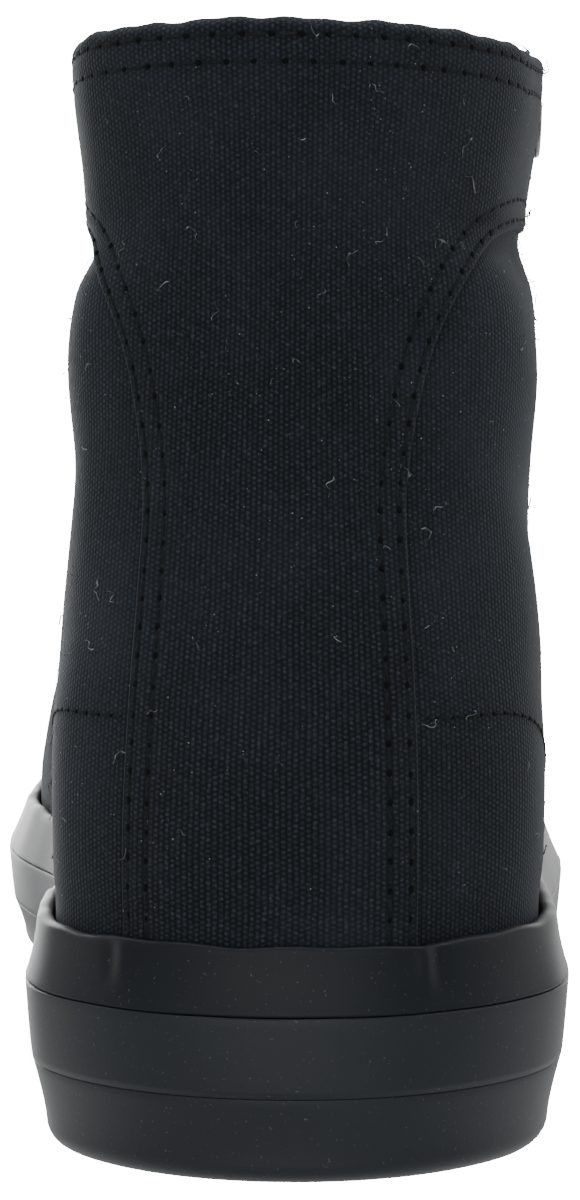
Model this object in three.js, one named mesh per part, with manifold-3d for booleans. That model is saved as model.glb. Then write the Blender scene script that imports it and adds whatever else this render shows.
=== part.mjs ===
// High top canvas sneaker, right shoe.
// Millimetres, +Z up, toe towards +Y, lateral side towards +X.
// The origin lies on the floor under the centre of the heel.
import * as THREE from 'three';
import Module from 'manifold-3d';

// sizes of the shoe
const soleLength = 287.5;
const heelWidth = 76.4;
const ballWidth = 103;
const collarHeight = 152;
const instepHeight = 84;
const toeBoxHeight = 53;
const toeSpring = 9;
const heelTurn = 6.8;          // degrees the heel is turned out from the length of the shoe

// heights of the sole's bands at heel, ball and toe
const outsoleTop = { heel: 11.5, ball: 8.6, toe: 9.4 };
const foxingTop = { heel: 22.5, ball: 18.2, toe: 20.2 };
const tapeTop = { heel: 31.5, ball: 27.0, toe: 29.5 };
const floorThick = 2.2;

// walls and clearances
const seat = 0.3;              // gap left between two pieces that touch
const upperWall = 1.9;
const heelMargin = 4.4;        // upper's outside, in from the sole's widest line
const ballMargin = 6.2;
const panelWall = 1.1;
const capWall = 1.6;
const insoleThick = 4;
const tongueWall = 3;
const tongueSeat = 0.5;        // padded tongue under the upper's wall
const tongueUnder = 10;        // tongue's reach under the eyestay
const tongueShort = 5;         // tongue's top, down the instep from the collar's front corner
const tongueStart = -18;       // tongue's lower end, below the foot of the instep
const tongueNarrow = 0.86;     // its top row's width
const treadDepth = 1.4;
const grooveWidth = 3.2;

// opening and lacing
const cornerRound = 7;
const cornerFlare = 5.6;       // front corner of the collar turned outwards, starting at flareFrom
const flareFrom = 46;
const flareRun = 36;
const eyeletPairs = 6;
const eyeletInset = 9.5;
const eyeletOuter = 4.6;
const eyeletHole = 2.5;
const laceWidth = 7;
const laceThick = 1.3;

// Plan of the sole, forward of the heel's arc: lateral x and y, medial x and y.
const planRows = [
  [39.0, 22, -37.6, 30],
  [39.8, 50, -35.6, 57],
  [41.6, 78, -34.8, 83],
  [44.4, 105, -37.4, 108],
  [47.2, 130, -43.4, 132],
  [49.0, 153, -50.2, 154],
  [48.6, 175, -54.0, 175],
  [45.2, 197, -53.8, 197],
  [37.0, 218, -49.6, 218],
  [22.5, 236, -41.0, 235],
  [5.5, 247, -28.4, 246.5],
];
const toeTip = [-12, 250];
const heelArcStations = 4;
const drawnLength = 287.5;
const drawnBall = 103;

// Line over the shoe that the ribs rise to: y, z, x of the ridge, half width left open,
// share of arch, fullness of the arch, sweep of the rib, share of heel bulge and side bulge.
const topRows = [
  [-31.5, 157, -3.0, 0, 0, 1, 0, 1, 0],
  [-27.0, 157, -2.6, 14.8, 0, 1, 0, 0.75, 0.25],
  [-14.5, 158, -1.0, 26.4, 0, 1, 0, 0.25, 0.75],
  [4.0, 160, 1.2, 30.5, 0, 1, 0, 0, 1],
  [27.0, 163, 3.8, 31.2, 0.05, 1, 0, 0, 1],
  [50.0, 167, 6.4, 29.6, 0.2, 1, 0, 0, 0.9],
  [70.0, 170, 8.2, 23.5, 0.4, 1, 0, 0, 0.7],
  [82.0, 167, 9.0, 11.0, 0.65, 1, 0, 0, 0.45],
  [95.0, 144, 8.8, 2.5, 0.85, 1, 0, 0, 0.25],
  [114.5, 114, 7.2, 0.3, 0.97, 1, 0, 0, 0.1],
  [141.0, 84, 3.6, 0, 1, 0.98, 0, 0, 0],
  [170.0, 69, -1.6, 0, 1, 0.94, 0, 0, 0],
  [196.0, 58.5, -6.4, 0, 1, 0.88, 0.03, 0, 0],
  [213.0, 54, -9.4, 0, 1, 0.84, 0.45, 0, 0],
  [223.0, 53, -11.0, 0, 1, 0.82, 0.9, 0, 0],
  [226.0, 53, -11.4, 0, 1, 0.82, 1, 0, 0],
];
const drawnCollar = 152;
const drawnInstep = 84;
const drawnToeBox = 53;

// Swelling of the shaft by height: z, at the sides, at the back.
const swellRows = [
  [31.5, 0.3, 0.0],
  [50, 1.2, 0.4],
  [66, 0.9, -0.8],
  [88, -0.6, -2.8],
  [105, 0.1, -3.8],
  [117, -0.2, -4.0],
  [124, -2.3, -3.9],
  [131, -2.6, -3.2],
  [145, -0.6, -1.4],
  [157, 0.0, 0.0],
];

// Height of the collar's edge by y.
const collarRows = [[-40, 152], [0, 150.5], [30, 152], [50, 155], [66, 158.5], [80, 160]];

// Half width of the lace opening by distance up the ridge from the foot of the instep.
const openingRows = [
  [-12, 0], [-11, 4.5], [-8, 9], [-3, 12], [10, 14.5], [40, 17.5], [70, 20], [90, 22.5],
  [104, 24], [115, 25],
];

// Lower edge of the heel panel: distance round from the middle of the heel, height.
const panelRows = [
  [20.5, 90.8], [22.5, 100], [25, 109], [29, 116], [34, 121], [42, 124.5], [55, 126], [110, 127.5],
];
const panelStrip = 20.5;

// Cross grooves of the tread: y on the middle line, turn in radians.
const grooveRows = [
  [-22, 0], [-8, 0], [6, 0], [20, 0],
  [116, -0.12], [134, -0.16], [152, -0.2], [170, -0.24], [188, -0.26], [206, -0.26],
];
const forefootMiddle = -4;
const panelEnd = 5;            // station where the panel's front edge lies
const panelRow = 5;            // row of the upper at which the strip starts to widen

const stations = heelArcStations + planRows.length;   // half way round, at the toe
const around = 2 * stations;
const lengthScale = soleLength / drawnLength;
const ballScale = ballWidth / drawnBall;
const turn = THREE.MathUtils.degToRad(heelTurn);

const clamp01 = (t) => Math.min(1, Math.max(0, t));
const smooth = (t) => { const c = clamp01(t); return c * c * (3 - 2 * c); };

function readRows(rows, x, column = 1) {
  if (x <= rows[0][0]) return rows[0][column];
  for (let i = 1; i < rows.length; i++) {
    const a = rows[i - 1], b = rows[i];
    if (x <= b[0]) return a[column] + (b[column] - a[column]) * (x - a[0]) / (b[0] - a[0]);
  }
  return rows[rows.length - 1][column];
}

// Smooth curve through the values of a table.
function curveThrough(xs, ys) {
  const n = xs.length;
  const slopes = ys.map((v, i) => {
    const a = Math.max(0, i - 1), b = Math.min(n - 1, i + 1);
    return (ys[b] - ys[a]) / (xs[b] - xs[a]);
  });
  return (x) => {
    if (x <= xs[0]) return ys[0];
    if (x >= xs[n - 1]) return ys[n - 1];
    let i = 1;
    while (x > xs[i]) i++;
    const h = xs[i] - xs[i - 1], t = (x - xs[i - 1]) / h;
    const t2 = t * t, t3 = t2 * t;
    return (2 * t3 - 3 * t2 + 1) * ys[i - 1] + (t3 - 2 * t2 + t) * h * slopes[i - 1]
      + (3 * t2 - 2 * t3) * ys[i] + (t3 - t2) * h * slopes[i];
  };
}
const swellSide = curveThrough(swellRows.map((r) => r[0]), swellRows.map((r) => r[1]));
const swellBack = curveThrough(swellRows.map((r) => r[0]), swellRows.map((r) => r[2]));

// Closed cubic spline round the shoe: lateral values heel to toe, medial values heel to toe.
function loop(lateral, medial) {
  const values = [...lateral.slice(0, stations + 1), ...medial.slice(1, stations).reverse()];
  const n = values.length;
  let control = [...values];
  for (let pass = 0; pass < 60; pass++) {
    control = values.map((p, i) => (6 * p - control[(i + n - 1) % n] - control[(i + 1) % n]) / 4);
  }
  const read = (u, weights) => {
    const i = Math.floor(u), w = weights(u - i);
    let sum = 0;
    for (let k = -1; k < 3; k++) sum += w[k + 1] * control[(((i + k) % n) + n) % n];
    return sum;
  };
  return {
    at: (u) => read(u, (t) => [(1 - t) ** 3 / 6, (3 * t ** 3 - 6 * t * t + 4) / 6,
      (-3 * t ** 3 + 3 * t * t + 3 * t + 1) / 6, t ** 3 / 6]),
    slope: (u) => read(u, (t) => [-((1 - t) ** 2) / 2, (3 * t * t - 4 * t) / 2,
      (-3 * t * t + 2 * t + 1) / 2, t * t / 2]),
  };
}

function heelArc(side, column) {
  return Array.from({ length: heelArcStations }, (_, i) => {
    const a = side * i * Math.PI / 6 - turn;
    return heelWidth / 2 * (column ? -Math.cos(a) : Math.sin(a));
  });
}
const planX = loop(
  [...heelArc(1, 0), ...planRows.map((r) => r[0] * ballScale), toeTip[0]],
  [...heelArc(-1, 0), ...planRows.map((r) => r[2] * ballScale), toeTip[0]]);
const planY = loop(
  [...heelArc(1, 1), ...planRows.map((r) => r[1] * lengthScale), toeTip[1] * lengthScale],
  [...heelArc(-1, 1), ...planRows.map((r) => r[3] * lengthScale), toeTip[1] * lengthScale]);

// Point of the sole's widest line, moved in by an inset, with its outward direction.
function plan(u, inset = 0) {
  const dx = planX.slope(u), dy = planY.slope(u), l = Math.hypot(dx, dy);
  const nx = dy / l, ny = -dx / l;
  return { x: planX.at(u) - nx * inset, y: planY.at(u) - ny * inset, nx, ny };
}

// Height of a band of the sole at y, toe spring included.
function spring(y) {
  const start = 165 * lengthScale, end = toeTip[1] * lengthScale;
  return toeSpring * clamp01((y - start) / (end - start)) ** 2;
}
function level(band, y) {
  const back = smooth(y / (150 * lengthScale));
  const front = smooth((y / lengthScale - 190) / 60);
  return band.heel + (band.ball - band.heel) * back + (band.toe - band.ball) * front + spring(y);
}
const floorTop = (y) => level(outsoleTop, y) + seat + floorThick;
const marginAt = (y) =>
  heelMargin + (ballMargin - heelMargin) * smooth((y / lengthScale - 95) / 65);

// The line over the shoe, scaled from the drawn size.
function topHeight(row) {
  const [y, z] = row;
  if (y < 60) return z * collarHeight / drawnCollar;
  const [a, b, low, high] = z <= drawnInstep
    ? [drawnToeBox, drawnInstep, toeBoxHeight, instepHeight]
    : [drawnInstep, drawnCollar, instepHeight, collarHeight];
  return low + (high - low) * (z - a) / (b - a);
}
const both = (column) => loop(topRows.map((r) => r[column]), topRows.map((r) => r[column]));
const topY = loop(topRows.map((r) => r[0] * lengthScale), topRows.map((r) => r[0] * lengthScale));
const topZ = loop(topRows.map(topHeight), topRows.map(topHeight));
const topX = loop(topRows.map((r) => r[2] + r[3]), topRows.map((r) => r[2] - r[3]));
const ridgeX = both(2);
const arch = both(4), fullness = both(5), sweep = both(6), backShare = both(7), sideShare = both(8);

// Straight line up the instep in side view; distances along it are called climb.
const instepFoot = { y: topY.at(stations - 5), z: topZ.at(stations - 5) };
const instepHead = { y: topY.at(7), z: topZ.at(7) };
const instepRun = Math.hypot(instepHead.y - instepFoot.y, instepHead.z - instepFoot.z);
const upY = (instepHead.y - instepFoot.y) / instepRun;
const upZ = (instepHead.z - instepFoot.z) / instepRun;
const climbOf = (y, z) => (y - instepFoot.y) * upY + (z - instepFoot.z) * upZ;
const ridgeRows = Array.from({ length: 25 }, (_, i) => {
  const u = 12 - i * 0.2;
  return [climbOf(topY.at(u), topZ.at(u)), ridgeX.at(u)];
});
const ridgeAt = (climb) => readRows(ridgeRows, climb);
const openingAt = (climb) => (climb < openingRows[0][0] ? -1 : readRows(openingRows, climb));
const collarAt = (y) => readRows(collarRows, y) * collarHeight / drawnCollar;

// Point of the last's surface: u goes round the shoe, v up a rib from the tape's edge.
// Negative v runs straight down inside the sole to the upper's lower edge.
function last(u, v, flared = true) {
  const soleY = planY.at(u), foot = plan(u, marginAt(soleY));
  const z0 = level(tapeTop, soleY) - 1;
  if (v < 0) return new THREE.Vector3(foot.x, foot.y, z0 + (z0 - floorTop(soleY) - seat) * v);
  const a = clamp01(arch.at(u)), k = fullness.at(u), s = clamp01(sweep.at(u));
  const angle = Math.PI / 2 * v;
  const rise = (1 - a) * v + a * Math.sin(angle) ** k;
  const run = (1 - a) * v + a * (1 - Math.abs(Math.cos(angle)) ** k);
  const z = z0 + (topZ.at(u) - z0) * rise;
  let x = foot.x + (topX.at(u) - foot.x) * run;
  let y = foot.y + (topY.at(u) - foot.y) * ((1 - s) * rise + s * run);
  const drawnZ = z * drawnCollar / collarHeight;
  const fade = smooth((z - z0) / 8);
  const out = fade * (backShare.at(u) * swellBack(drawnZ) + sideShare.at(u) * swellSide(drawnZ));
  x += foot.nx * out;
  y += foot.ny * out;
  if (flared) {
    const climb = climbOf(y, z), side = Math.sign(x - ridgeAt(climb));
    const nearTop = smooth((climb - 66) / 24);
    x += side * cornerFlare * nearTop * smooth((y / lengthScale - flareFrom) / flareRun);
  }
  return new THREE.Vector3(x, y, z);
}

function lastNormal(u, v, flared = true) {
  const oneSide = (w) => {
    const e = 1e-3, v0 = Math.min(Math.max(v, 0), 0.985);
    const du = last(w + e, v0, flared).sub(last(w - e, v0, flared));
    const dv = last(w, v0 + e, flared).sub(last(w, v0, flared));
    return du.cross(dv).normalize();
  };
  if (v < 0) { const p = plan(u); return new THREE.Vector3(p.nx, p.ny, 0); }
  const n = oneSide(u);
  return v > 1 - 1e-6 ? n.add(oneSide(around - u)).normalize() : n;
}
function skin(u, v, out, flared = true) {
  const w = v > 1 - 1e-6 && u > stations ? around - u : u;
  return last(w, v, flared).addScaledVector(lastNormal(w, v, flared), out);
}

// Distance of a surface point inside the upper's cut edge; the corner of the two cuts is round.
function insideEdge(u, v) {
  const p = last(u, v, false);
  const climb = climbOf(p.y, p.z);
  const fromCollar = collarAt(p.y) - p.z;
  const fromFront = p.y < 40 ? cornerRound * 2 : Math.abs(p.x - ridgeAt(climb)) - openingAt(climb);
  if (fromCollar > cornerRound || fromFront > cornerRound) return Math.min(fromCollar, fromFront);
  return cornerRound - Math.hypot(cornerRound - fromCollar, cornerRound - fromFront);
}
function solve(low, high, isLow) {
  let a = low, b = high;
  for (let i = 0; i < 36; i++) { const m = (a + b) / 2; if (isLow(m)) a = m; else b = m; }
  return (a + b) / 2;
}
const throatU = solve(8, 12, (u) => climbOf(topY.at(u), topZ.at(u)) > openingRows[0][0]);
const halfwayIn = (u) => (u > stations ? around - u : u);
const knownEdges = new Map();
function edgeV(u) {
  if (halfwayIn(u) >= throatU - 1e-6) return 1;
  if (!knownEdges.has(u)) knownEdges.set(u, solve(0.2, 1, (v) => insideEdge(u, v) > 0));
  return knownEdges.get(u);
}
const vAtHeight = (u, z) => solve(0, 1, (v) => last(u, v).z < z);

// Mesh built from numbered points, welded where two points coincide.
class Skin {
  constructor() { this.points = []; this.faces = []; this.known = new Map(); }
  point(p) {
    const key = [p.x, p.y, p.z].map((c) => Math.round(c * 1000)).join(' ');
    if (!this.known.has(key)) { this.known.set(key, this.points.length); this.points.push(p); }
    return this.known.get(key);
  }
  triangle(a, b, c) { if (a !== b && b !== c && c !== a) this.faces.push(a, b, c); }
  quad(a, b, c, d) {
    const [A, B, C, D] = [a, b, c, d].map((i) => this.points[i]);
    if (A.distanceTo(C) <= B.distanceTo(D)) { this.triangle(a, b, c); this.triangle(a, c, d); }
    else { this.triangle(a, b, d); this.triangle(b, c, d); }
  }
  geometry() {
    const g = new THREE.BufferGeometry();
    g.setAttribute('position', new THREE.Float32BufferAttribute(
      this.points.flatMap((p) => [p.x, p.y, p.z]), 3));
    g.setIndex(this.faces);
    g.computeVertexNormals();
    return g;
  }
}

// Wall over part of the last: columns of u, each from low(u) to high(u), between two offsets.
// Every piece has its rows where the upper has them, so facets of two pieces lie parallel.
const shellRows = 10;
// Where a piece is stepped, from(i) gives the first row of the cells after column i.
function shell({ columns, closed, low, high, inner, outer, flared = true, below = false,
  from = () => 0 }) {
  const mesh = new Skin();
  const grid = [outer, inner].map((offset) => columns.map((u) => {
    const a = low(u), b = high(u), edge = edgeV(u);
    const column = Array.from({ length: shellRows + 1 }, (_, j) => {
      const row = Math.min(b, Math.max(a, edge * j / shellRows)) / edge * shellRows;
      const under = Math.min(shellRows - 1, Math.floor(row + 1e-9));
      const p = skin(u, edge * under / shellRows, offset, flared);
      const q = skin(u, edge * (under + 1) / shellRows, offset, flared);
      return mesh.point(p.lerp(q, row - under));
    });
    if (below) column.unshift(mesh.point(skin(u, -1, offset, flared)));
    return column;
  }));
  const open = columns.map((u) => high(u) < 1 - 1e-9);
  const n = columns.length, last0 = grid[0][0].length - 1;
  for (let i = 0; i < (closed ? n : n - 1); i++) {
    const k = (i + 1) % n;
    const [o, p] = [grid[0][i], grid[0][k]], [q, r] = [grid[1][i], grid[1][k]];
    const first = from(i), next = k < n - 1 || closed ? from(k) : first;
    for (let j = first; j < last0; j++) {
      mesh.quad(o[j], p[j], p[j + 1], o[j + 1]);
      mesh.quad(q[j], q[j + 1], r[j + 1], r[j]);
    }
    mesh.quad(o[first], q[first], r[first], p[first]);
    for (let j = first; j < next; j++) mesh.quad(p[j], r[j], r[j + 1], p[j + 1]);
    for (let j = next; j < first; j++) mesh.quad(r[j], p[j], p[j + 1], r[j + 1]);
    if (open[i] || open[k]) mesh.quad(o[last0], p[last0], r[last0], q[last0]);
  }
  if (!closed) {
    const [a, b, c, d] = [grid[0][0], grid[1][0], grid[0][n - 1], grid[1][n - 1]];
    for (let j = from(0); j < last0; j++) mesh.quad(a[j], a[j + 1], b[j + 1], b[j]);
    for (let j = from(n - 2); j < last0; j++) mesh.quad(c[j], d[j], d[j + 1], c[j + 1]);
  }
  return mesh.geometry();
}

const spread = (from, to, step) =>
  Array.from({ length: Math.round((to - from) / step) + 1 }, (_, i) => from + i * step);

function mirrored(list) {
  const half = list.filter((u) => u >= 0 && u <= stations);
  return [...half, ...half.filter((u) => u > 0 && u < stations).map((u) => around - u).reverse()];
}
const inOrder = (list) => [...new Set(list.map((u) => Math.round(u * 1e6) / 1e6))]
  .sort((a, b) => a - b);

// Distance round the heel from its middle, and the station where the panel's strip has its edge.
function arcAt(u) {
  let sum = 0, before = plan(0, heelMargin);
  for (let i = 1; i <= 12; i++) {
    const p = plan(u * i / 12, heelMargin);
    sum += Math.hypot(p.x - before.x, p.y - before.y);
    before = p;
  }
  return sum;
}
const stripU = solve(0.2, 3, (u) => arcAt(u) < panelStrip);
const soleColumns = mirrored(inOrder([...spread(0, stations, 0.5), stripU]));

// Body following the sole's plan. The profile lists inset and height, from the bottom outwards
// and up; a capped body is closed across the shoe, an uncapped one is a ring or a strip.
function soleBody(profile, { capped = false, columns = null } = {}) {
  const mesh = new Skin();
  const list = columns || soleColumns;
  const grid = list.map((u) => profile(plan(u).y).map(([inset, z]) => {
    const p = plan(u, inset);
    return mesh.point(new THREE.Vector3(p.x, p.y, z));
  }));
  const n = list.length, m = grid[0].length, whole = !columns;
  for (let i = 0; i < (whole ? n : n - 1); i++) {
    const a = grid[i], b = grid[(i + 1) % n];
    for (let j = 0; j < (capped ? m - 1 : m); j++) {
      mesh.quad(a[j], b[j], b[(j + 1) % m], a[(j + 1) % m]);
    }
  }
  if (capped) {
    for (let i = 0; i < n / 2; i++) {
      const k = (n - i) % n, l = n - i - 1;
      mesh.quad(grid[i][0], grid[k][0], grid[l][0], grid[i + 1][0]);
      mesh.quad(grid[i][m - 1], grid[i + 1][m - 1], grid[l][m - 1], grid[k][m - 1]);
    }
  }
  if (!whole) {
    for (let j = 1; j < m - 1; j++) {
      mesh.triangle(grid[0][0], grid[0][j], grid[0][j + 1]);
      mesh.triangle(grid[n - 1][0], grid[n - 1][j + 1], grid[n - 1][j]);
    }
  }
  return mesh.geometry();
}

// Joining and cutting.
const wasm = await Module();
wasm.setup();
function solid(geometry) {
  return new wasm.Manifold(new wasm.Mesh({
    numProp: 3,
    vertProperties: new Float32Array(geometry.attributes.position.array),
    triVerts: new Uint32Array(geometry.index.array),
  }));
}
function surface(manifold) {
  const mesh = manifold.getMesh();
  const g = new THREE.BufferGeometry();
  g.setAttribute('position', new THREE.Float32BufferAttribute(mesh.vertProperties, 3));
  g.setIndex(Array.from(mesh.triVerts));
  g.computeVertexNormals();
  return g;
}
// Box as a closed skin: centre, sizes and turn about the vertical.
function block(centre, size, angle = 0) {
  const mesh = new Skin();
  const at = (i, j, k) => mesh.point(new THREE.Vector3(
    size[0] * (i - 0.5), size[1] * (j - 0.5), size[2] * (k - 0.5))
    .applyAxisAngle(new THREE.Vector3(0, 0, 1), angle).add(new THREE.Vector3(...centre)));
  const c = [at(0, 0, 0), at(1, 0, 0), at(1, 1, 0), at(0, 1, 0),
    at(0, 0, 1), at(1, 0, 1), at(1, 1, 1), at(0, 1, 1)];
  for (const [p, q, r, s] of [[0, 3, 2, 1], [4, 5, 6, 7], [0, 1, 5, 4],
    [1, 2, 6, 5], [2, 3, 7, 6], [3, 0, 4, 7]]) mesh.quad(c[p], c[q], c[r], c[s]);
  return solid(mesh.geometry());
}

// Outsole: plate with a rounded lower edge, cut by cross grooves into main lugs.
function outsole() {
  const plate = soleBody((y) => {
    const z = spring(y), top = level(outsoleTop, y);
    return [[5.8, z], [3.6, z + 0.9], [2.8, z + 3], [1.1, top], [5, top]];
  }, { capped: true });
  let body = solid(plate);
  for (const [drawnY, angle] of grooveRows) {
    const y = drawnY * lengthScale, deep = treadDepth + spring(y);
    const middle = drawnY > 100 ? forefootMiddle : 0;
    body = body.subtract(block(
      [middle, y, deep / 2 - 2], [ballWidth * 1.3, grooveWidth, deep + 4], angle));
  }
  return surface(body);
}

// Midsole: the foxing's wall and the floor under the foot, one moulded cup.
const midsole = () => soleBody((y) => {
  const under = level(outsoleTop, y) + seat, top = level(foxingTop, y), inside = marginAt(y) - seat;
  return [[5, under], [1.1, under], [0, top - 0.6], [0.4, top], [inside, top], [inside, floorTop(y)]];
}, { capped: true });

// Tape: the narrow band above the foxing, leaning in to a thin rolled edge.
const foxingStrip = () => soleBody((y) => {
  const under = level(foxingTop, y) + seat, top = level(tapeTop, y), inside = marginAt(y) - seat;
  return [[inside, under], [0.5, under], [1.1, under + (top - under) * 0.6],
    [inside - 2.2, top - 0.7], [inside - 1.8, top], [inside, top]];
});

const toeBumper = () => soleBody((y) => {
  const low = level(outsoleTop, y) - 2, high = level(foxingTop, y) - 1;
  return [[-seat, low], [-1.4, low + 0.6], [-1.8, (low + high) / 2], [-1.4, high - 0.6],
    [-seat, high]];
}, { columns: spread(stations - 3, stations + 3, 0.5) });

const insole = () => soleBody((y) => {
  const low = floorTop(y) + seat, edge = marginAt(y) + upperWall + seat;
  return [[edge, low], [edge, low + insoleThick * 0.7], [edge + 1.5, low + insoleThick]];
}, { capped: true });

// Upper: hollow shaft and vamp, open at the collar, the throat and underneath.
const upperColumns = mirrored(inOrder([
  ...spread(0, stations, 0.5).filter((u) => Math.abs(u - throatU) > 0.12),
  stripU, throatU, throatU - 0.05, throatU - 0.22,
]));
const upper = () => shell({
  columns: upperColumns, closed: true, low: () => 0, high: edgeV,
  inner: -upperWall, outer: 0, below: true,
});

// Heel panel: the strip up the back and the ankle piece it widens into, stitched on the quarters.
function heelPanel() {
  const half = inOrder([...spread(0, panelEnd, 0.5), stripU]);
  const columns = [...half.filter((u) => u > 0).map((u) => around - u).reverse(), ...half];
  const low = (u) => {
    const h = halfwayIn(u);
    if (h <= stripU + 1e-5) return vAtHeight(u, level(tapeTop, planY.at(u)) + seat);
    return vAtHeight(u, readRows(panelRows, arcAt(h)) * collarHeight / drawnCollar);
  };
  const inStrip = (i) => halfwayIn(columns[i]) <= stripU + 1e-5
    && halfwayIn(columns[i + 1]) <= stripU + 1e-5;
  return shell({
    columns, closed: false, low, high: (u) => edgeV(u) - 0.004,
    inner: seat, outer: seat + panelWall, from: (i) => (inStrip(i) ? 0 : panelRow),
  });
}

// Toe cap: rubber over the toe, its back edge one of the ribs, bowed towards the laces.
function toeCap() {
  const low = (u) => vAtHeight(u, level(tapeTop, planY.at(u)) + seat);
  return shell({
    columns: spread(stations - 3, stations + 3, 0.5), closed: false, low, high: () => 1,
    inner: seat, outer: seat + capWall,
  });
}

// Line of equal climb on one side, walked back from the ridge: distance walked and station.
const vAtClimb = (u, climb) => solve(0, 1, (v) => {
  const p = last(u, v, false);
  return climbOf(p.y, p.z) < climb;
});
const knownTracks = new Map();
function track(climb, side) {
  const key = `${climb} ${side}`;
  if (knownTracks.has(key)) return knownTracks.get(key);
  const onSide = (u) => (side > 0 ? u : around - u);
  let u = solve(5, stations - 2, (w) => climbOf(topY.at(w), topZ.at(w)) > climb);
  let before = last(onSide(u), 1, false);
  const rows = [[Math.abs(before.x - ridgeAt(climb)), onSide(u)]];
  let edge = null;
  while (rows[rows.length - 1][0] < 48) {
    u -= 0.06;
    const p = last(onSide(u), vAtClimb(onSide(u), climb), false);
    const walked = rows[rows.length - 1][0] + p.distanceTo(before);
    if (edge === null && Math.abs(p.x - ridgeAt(climb)) >= openingAt(climb)) edge = walked;
    rows.push([walked, onSide(u)]);
    before = p;
  }
  knownTracks.set(key, { rows, edge });
  return knownTracks.get(key);
}
function frontPlace(climb, walked, side) {
  const u = readRows(track(climb, side).rows, walked);
  return [u, vAtClimb(u, climb)];
}
// Above the height where the shaft opens the front pieces run straight on up the instep's line.
const headClimb = 0.92 * instepRun;
function frontPoint(climb, walked, side, out) {
  if (climb > headClimb) {
    const p = frontPoint(headClimb, walked, side, out), more = climb - headClimb;
    return p.add(new THREE.Vector3(0, upY * more, upZ * more));
  }
  const { rows } = track(climb, side);
  const [u, v] = frontPlace(climb, walked, side);
  const p = skin(u, walked < rows[0][0] ? 1 : v, out, false);
  if (walked < rows[0][0]) p.x = ridgeAt(climb) + side * walked;
  return p;
}

// Strip between two offsets over a grid of front places, closed all round.
function frontStrip(rows, inner, outer) {
  const mesh = new Skin();
  const [o, q] = [outer, inner].map((out) => rows.map((row) => row.map(([climb, offset]) =>
    mesh.point(frontPoint(climb, Math.abs(offset), offset < 0 ? -1 : 1, out)))));
  const n = rows.length, m = rows[0].length;
  for (let i = 0; i < n - 1; i++) {
    for (let j = 0; j < m - 1; j++) {
      mesh.quad(o[i][j], o[i + 1][j], o[i + 1][j + 1], o[i][j + 1]);
      mesh.quad(q[i][j], q[i][j + 1], q[i + 1][j + 1], q[i + 1][j]);
    }
    mesh.quad(o[i][0], q[i][0], q[i + 1][0], o[i + 1][0]);
    mesh.quad(o[i][m - 1], o[i + 1][m - 1], q[i + 1][m - 1], q[i][m - 1]);
  }
  for (let j = 0; j < m - 1; j++) {
    mesh.quad(o[0][j], o[0][j + 1], q[0][j + 1], q[0][j]);
    mesh.quad(o[n - 1][j], q[n - 1][j], q[n - 1][j + 1], o[n - 1][j + 1]);
  }
  return mesh;
}

const cornerClimb = (() => {
  const u = solve(4, 9, (w) => {
    const p = last(w, edgeV(w), false);
    return collarAt(p.y) - p.z < Math.abs(p.x - ridgeAt(climbOf(p.y, p.z)))
      - openingAt(climbOf(p.y, p.z));
  });
  const p = last(u, edgeV(u), false);
  return climbOf(p.y, p.z);
})();

// Tongue: padded strip under the opening, from below the throat to above the collar.
function tongue() {
  const depth = -upperWall - tongueSeat;
  const from = tongueStart, to = cornerClimb - tongueShort;
  const shares = [-1, -0.8, -0.6, -0.4, -0.2, 0, 0.2, 0.4, 0.6, 0.8, 1];
  const rows = Array.from({ length: 15 }, (_, i) => {
    const climb = from + (to - from) * i / 14;
    return shares.map((s) => {
      const level = Math.min(Math.max(climb, 0), headClimb);
      const reach = track(level, s < 0 ? -1 : 1).edge + tongueUnder;
      return [climb, s * reach * (i === 14 ? tongueNarrow : 1)];
    });
  });
  return frontStrip(rows, depth - tongueWall, depth).geometry();
}

// Point on the upper's facets, which lie flat between its columns and rows.
function onFacet(u, v) {
  const w = (u + around) % around;
  const i = upperColumns.findLastIndex((column) => column <= w);
  const a = upperColumns[i], b = i + 1 < upperColumns.length ? upperColumns[i + 1] : around;
  const share = (w - a) / (b - a);
  const row = v / (edgeV(a) * (1 - share) + edgeV(b % around) * share) * shellRows;
  const under = Math.min(shellRows - 1, Math.floor(row));
  const onColumn = (column) => skin(column, edgeV(column) * under / shellRows, 0)
    .lerp(skin(column, edgeV(column) * (under + 1) / shellRows, 0), row - under);
  return onColumn(a).lerp(onColumn(b % around), share);
}

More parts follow.
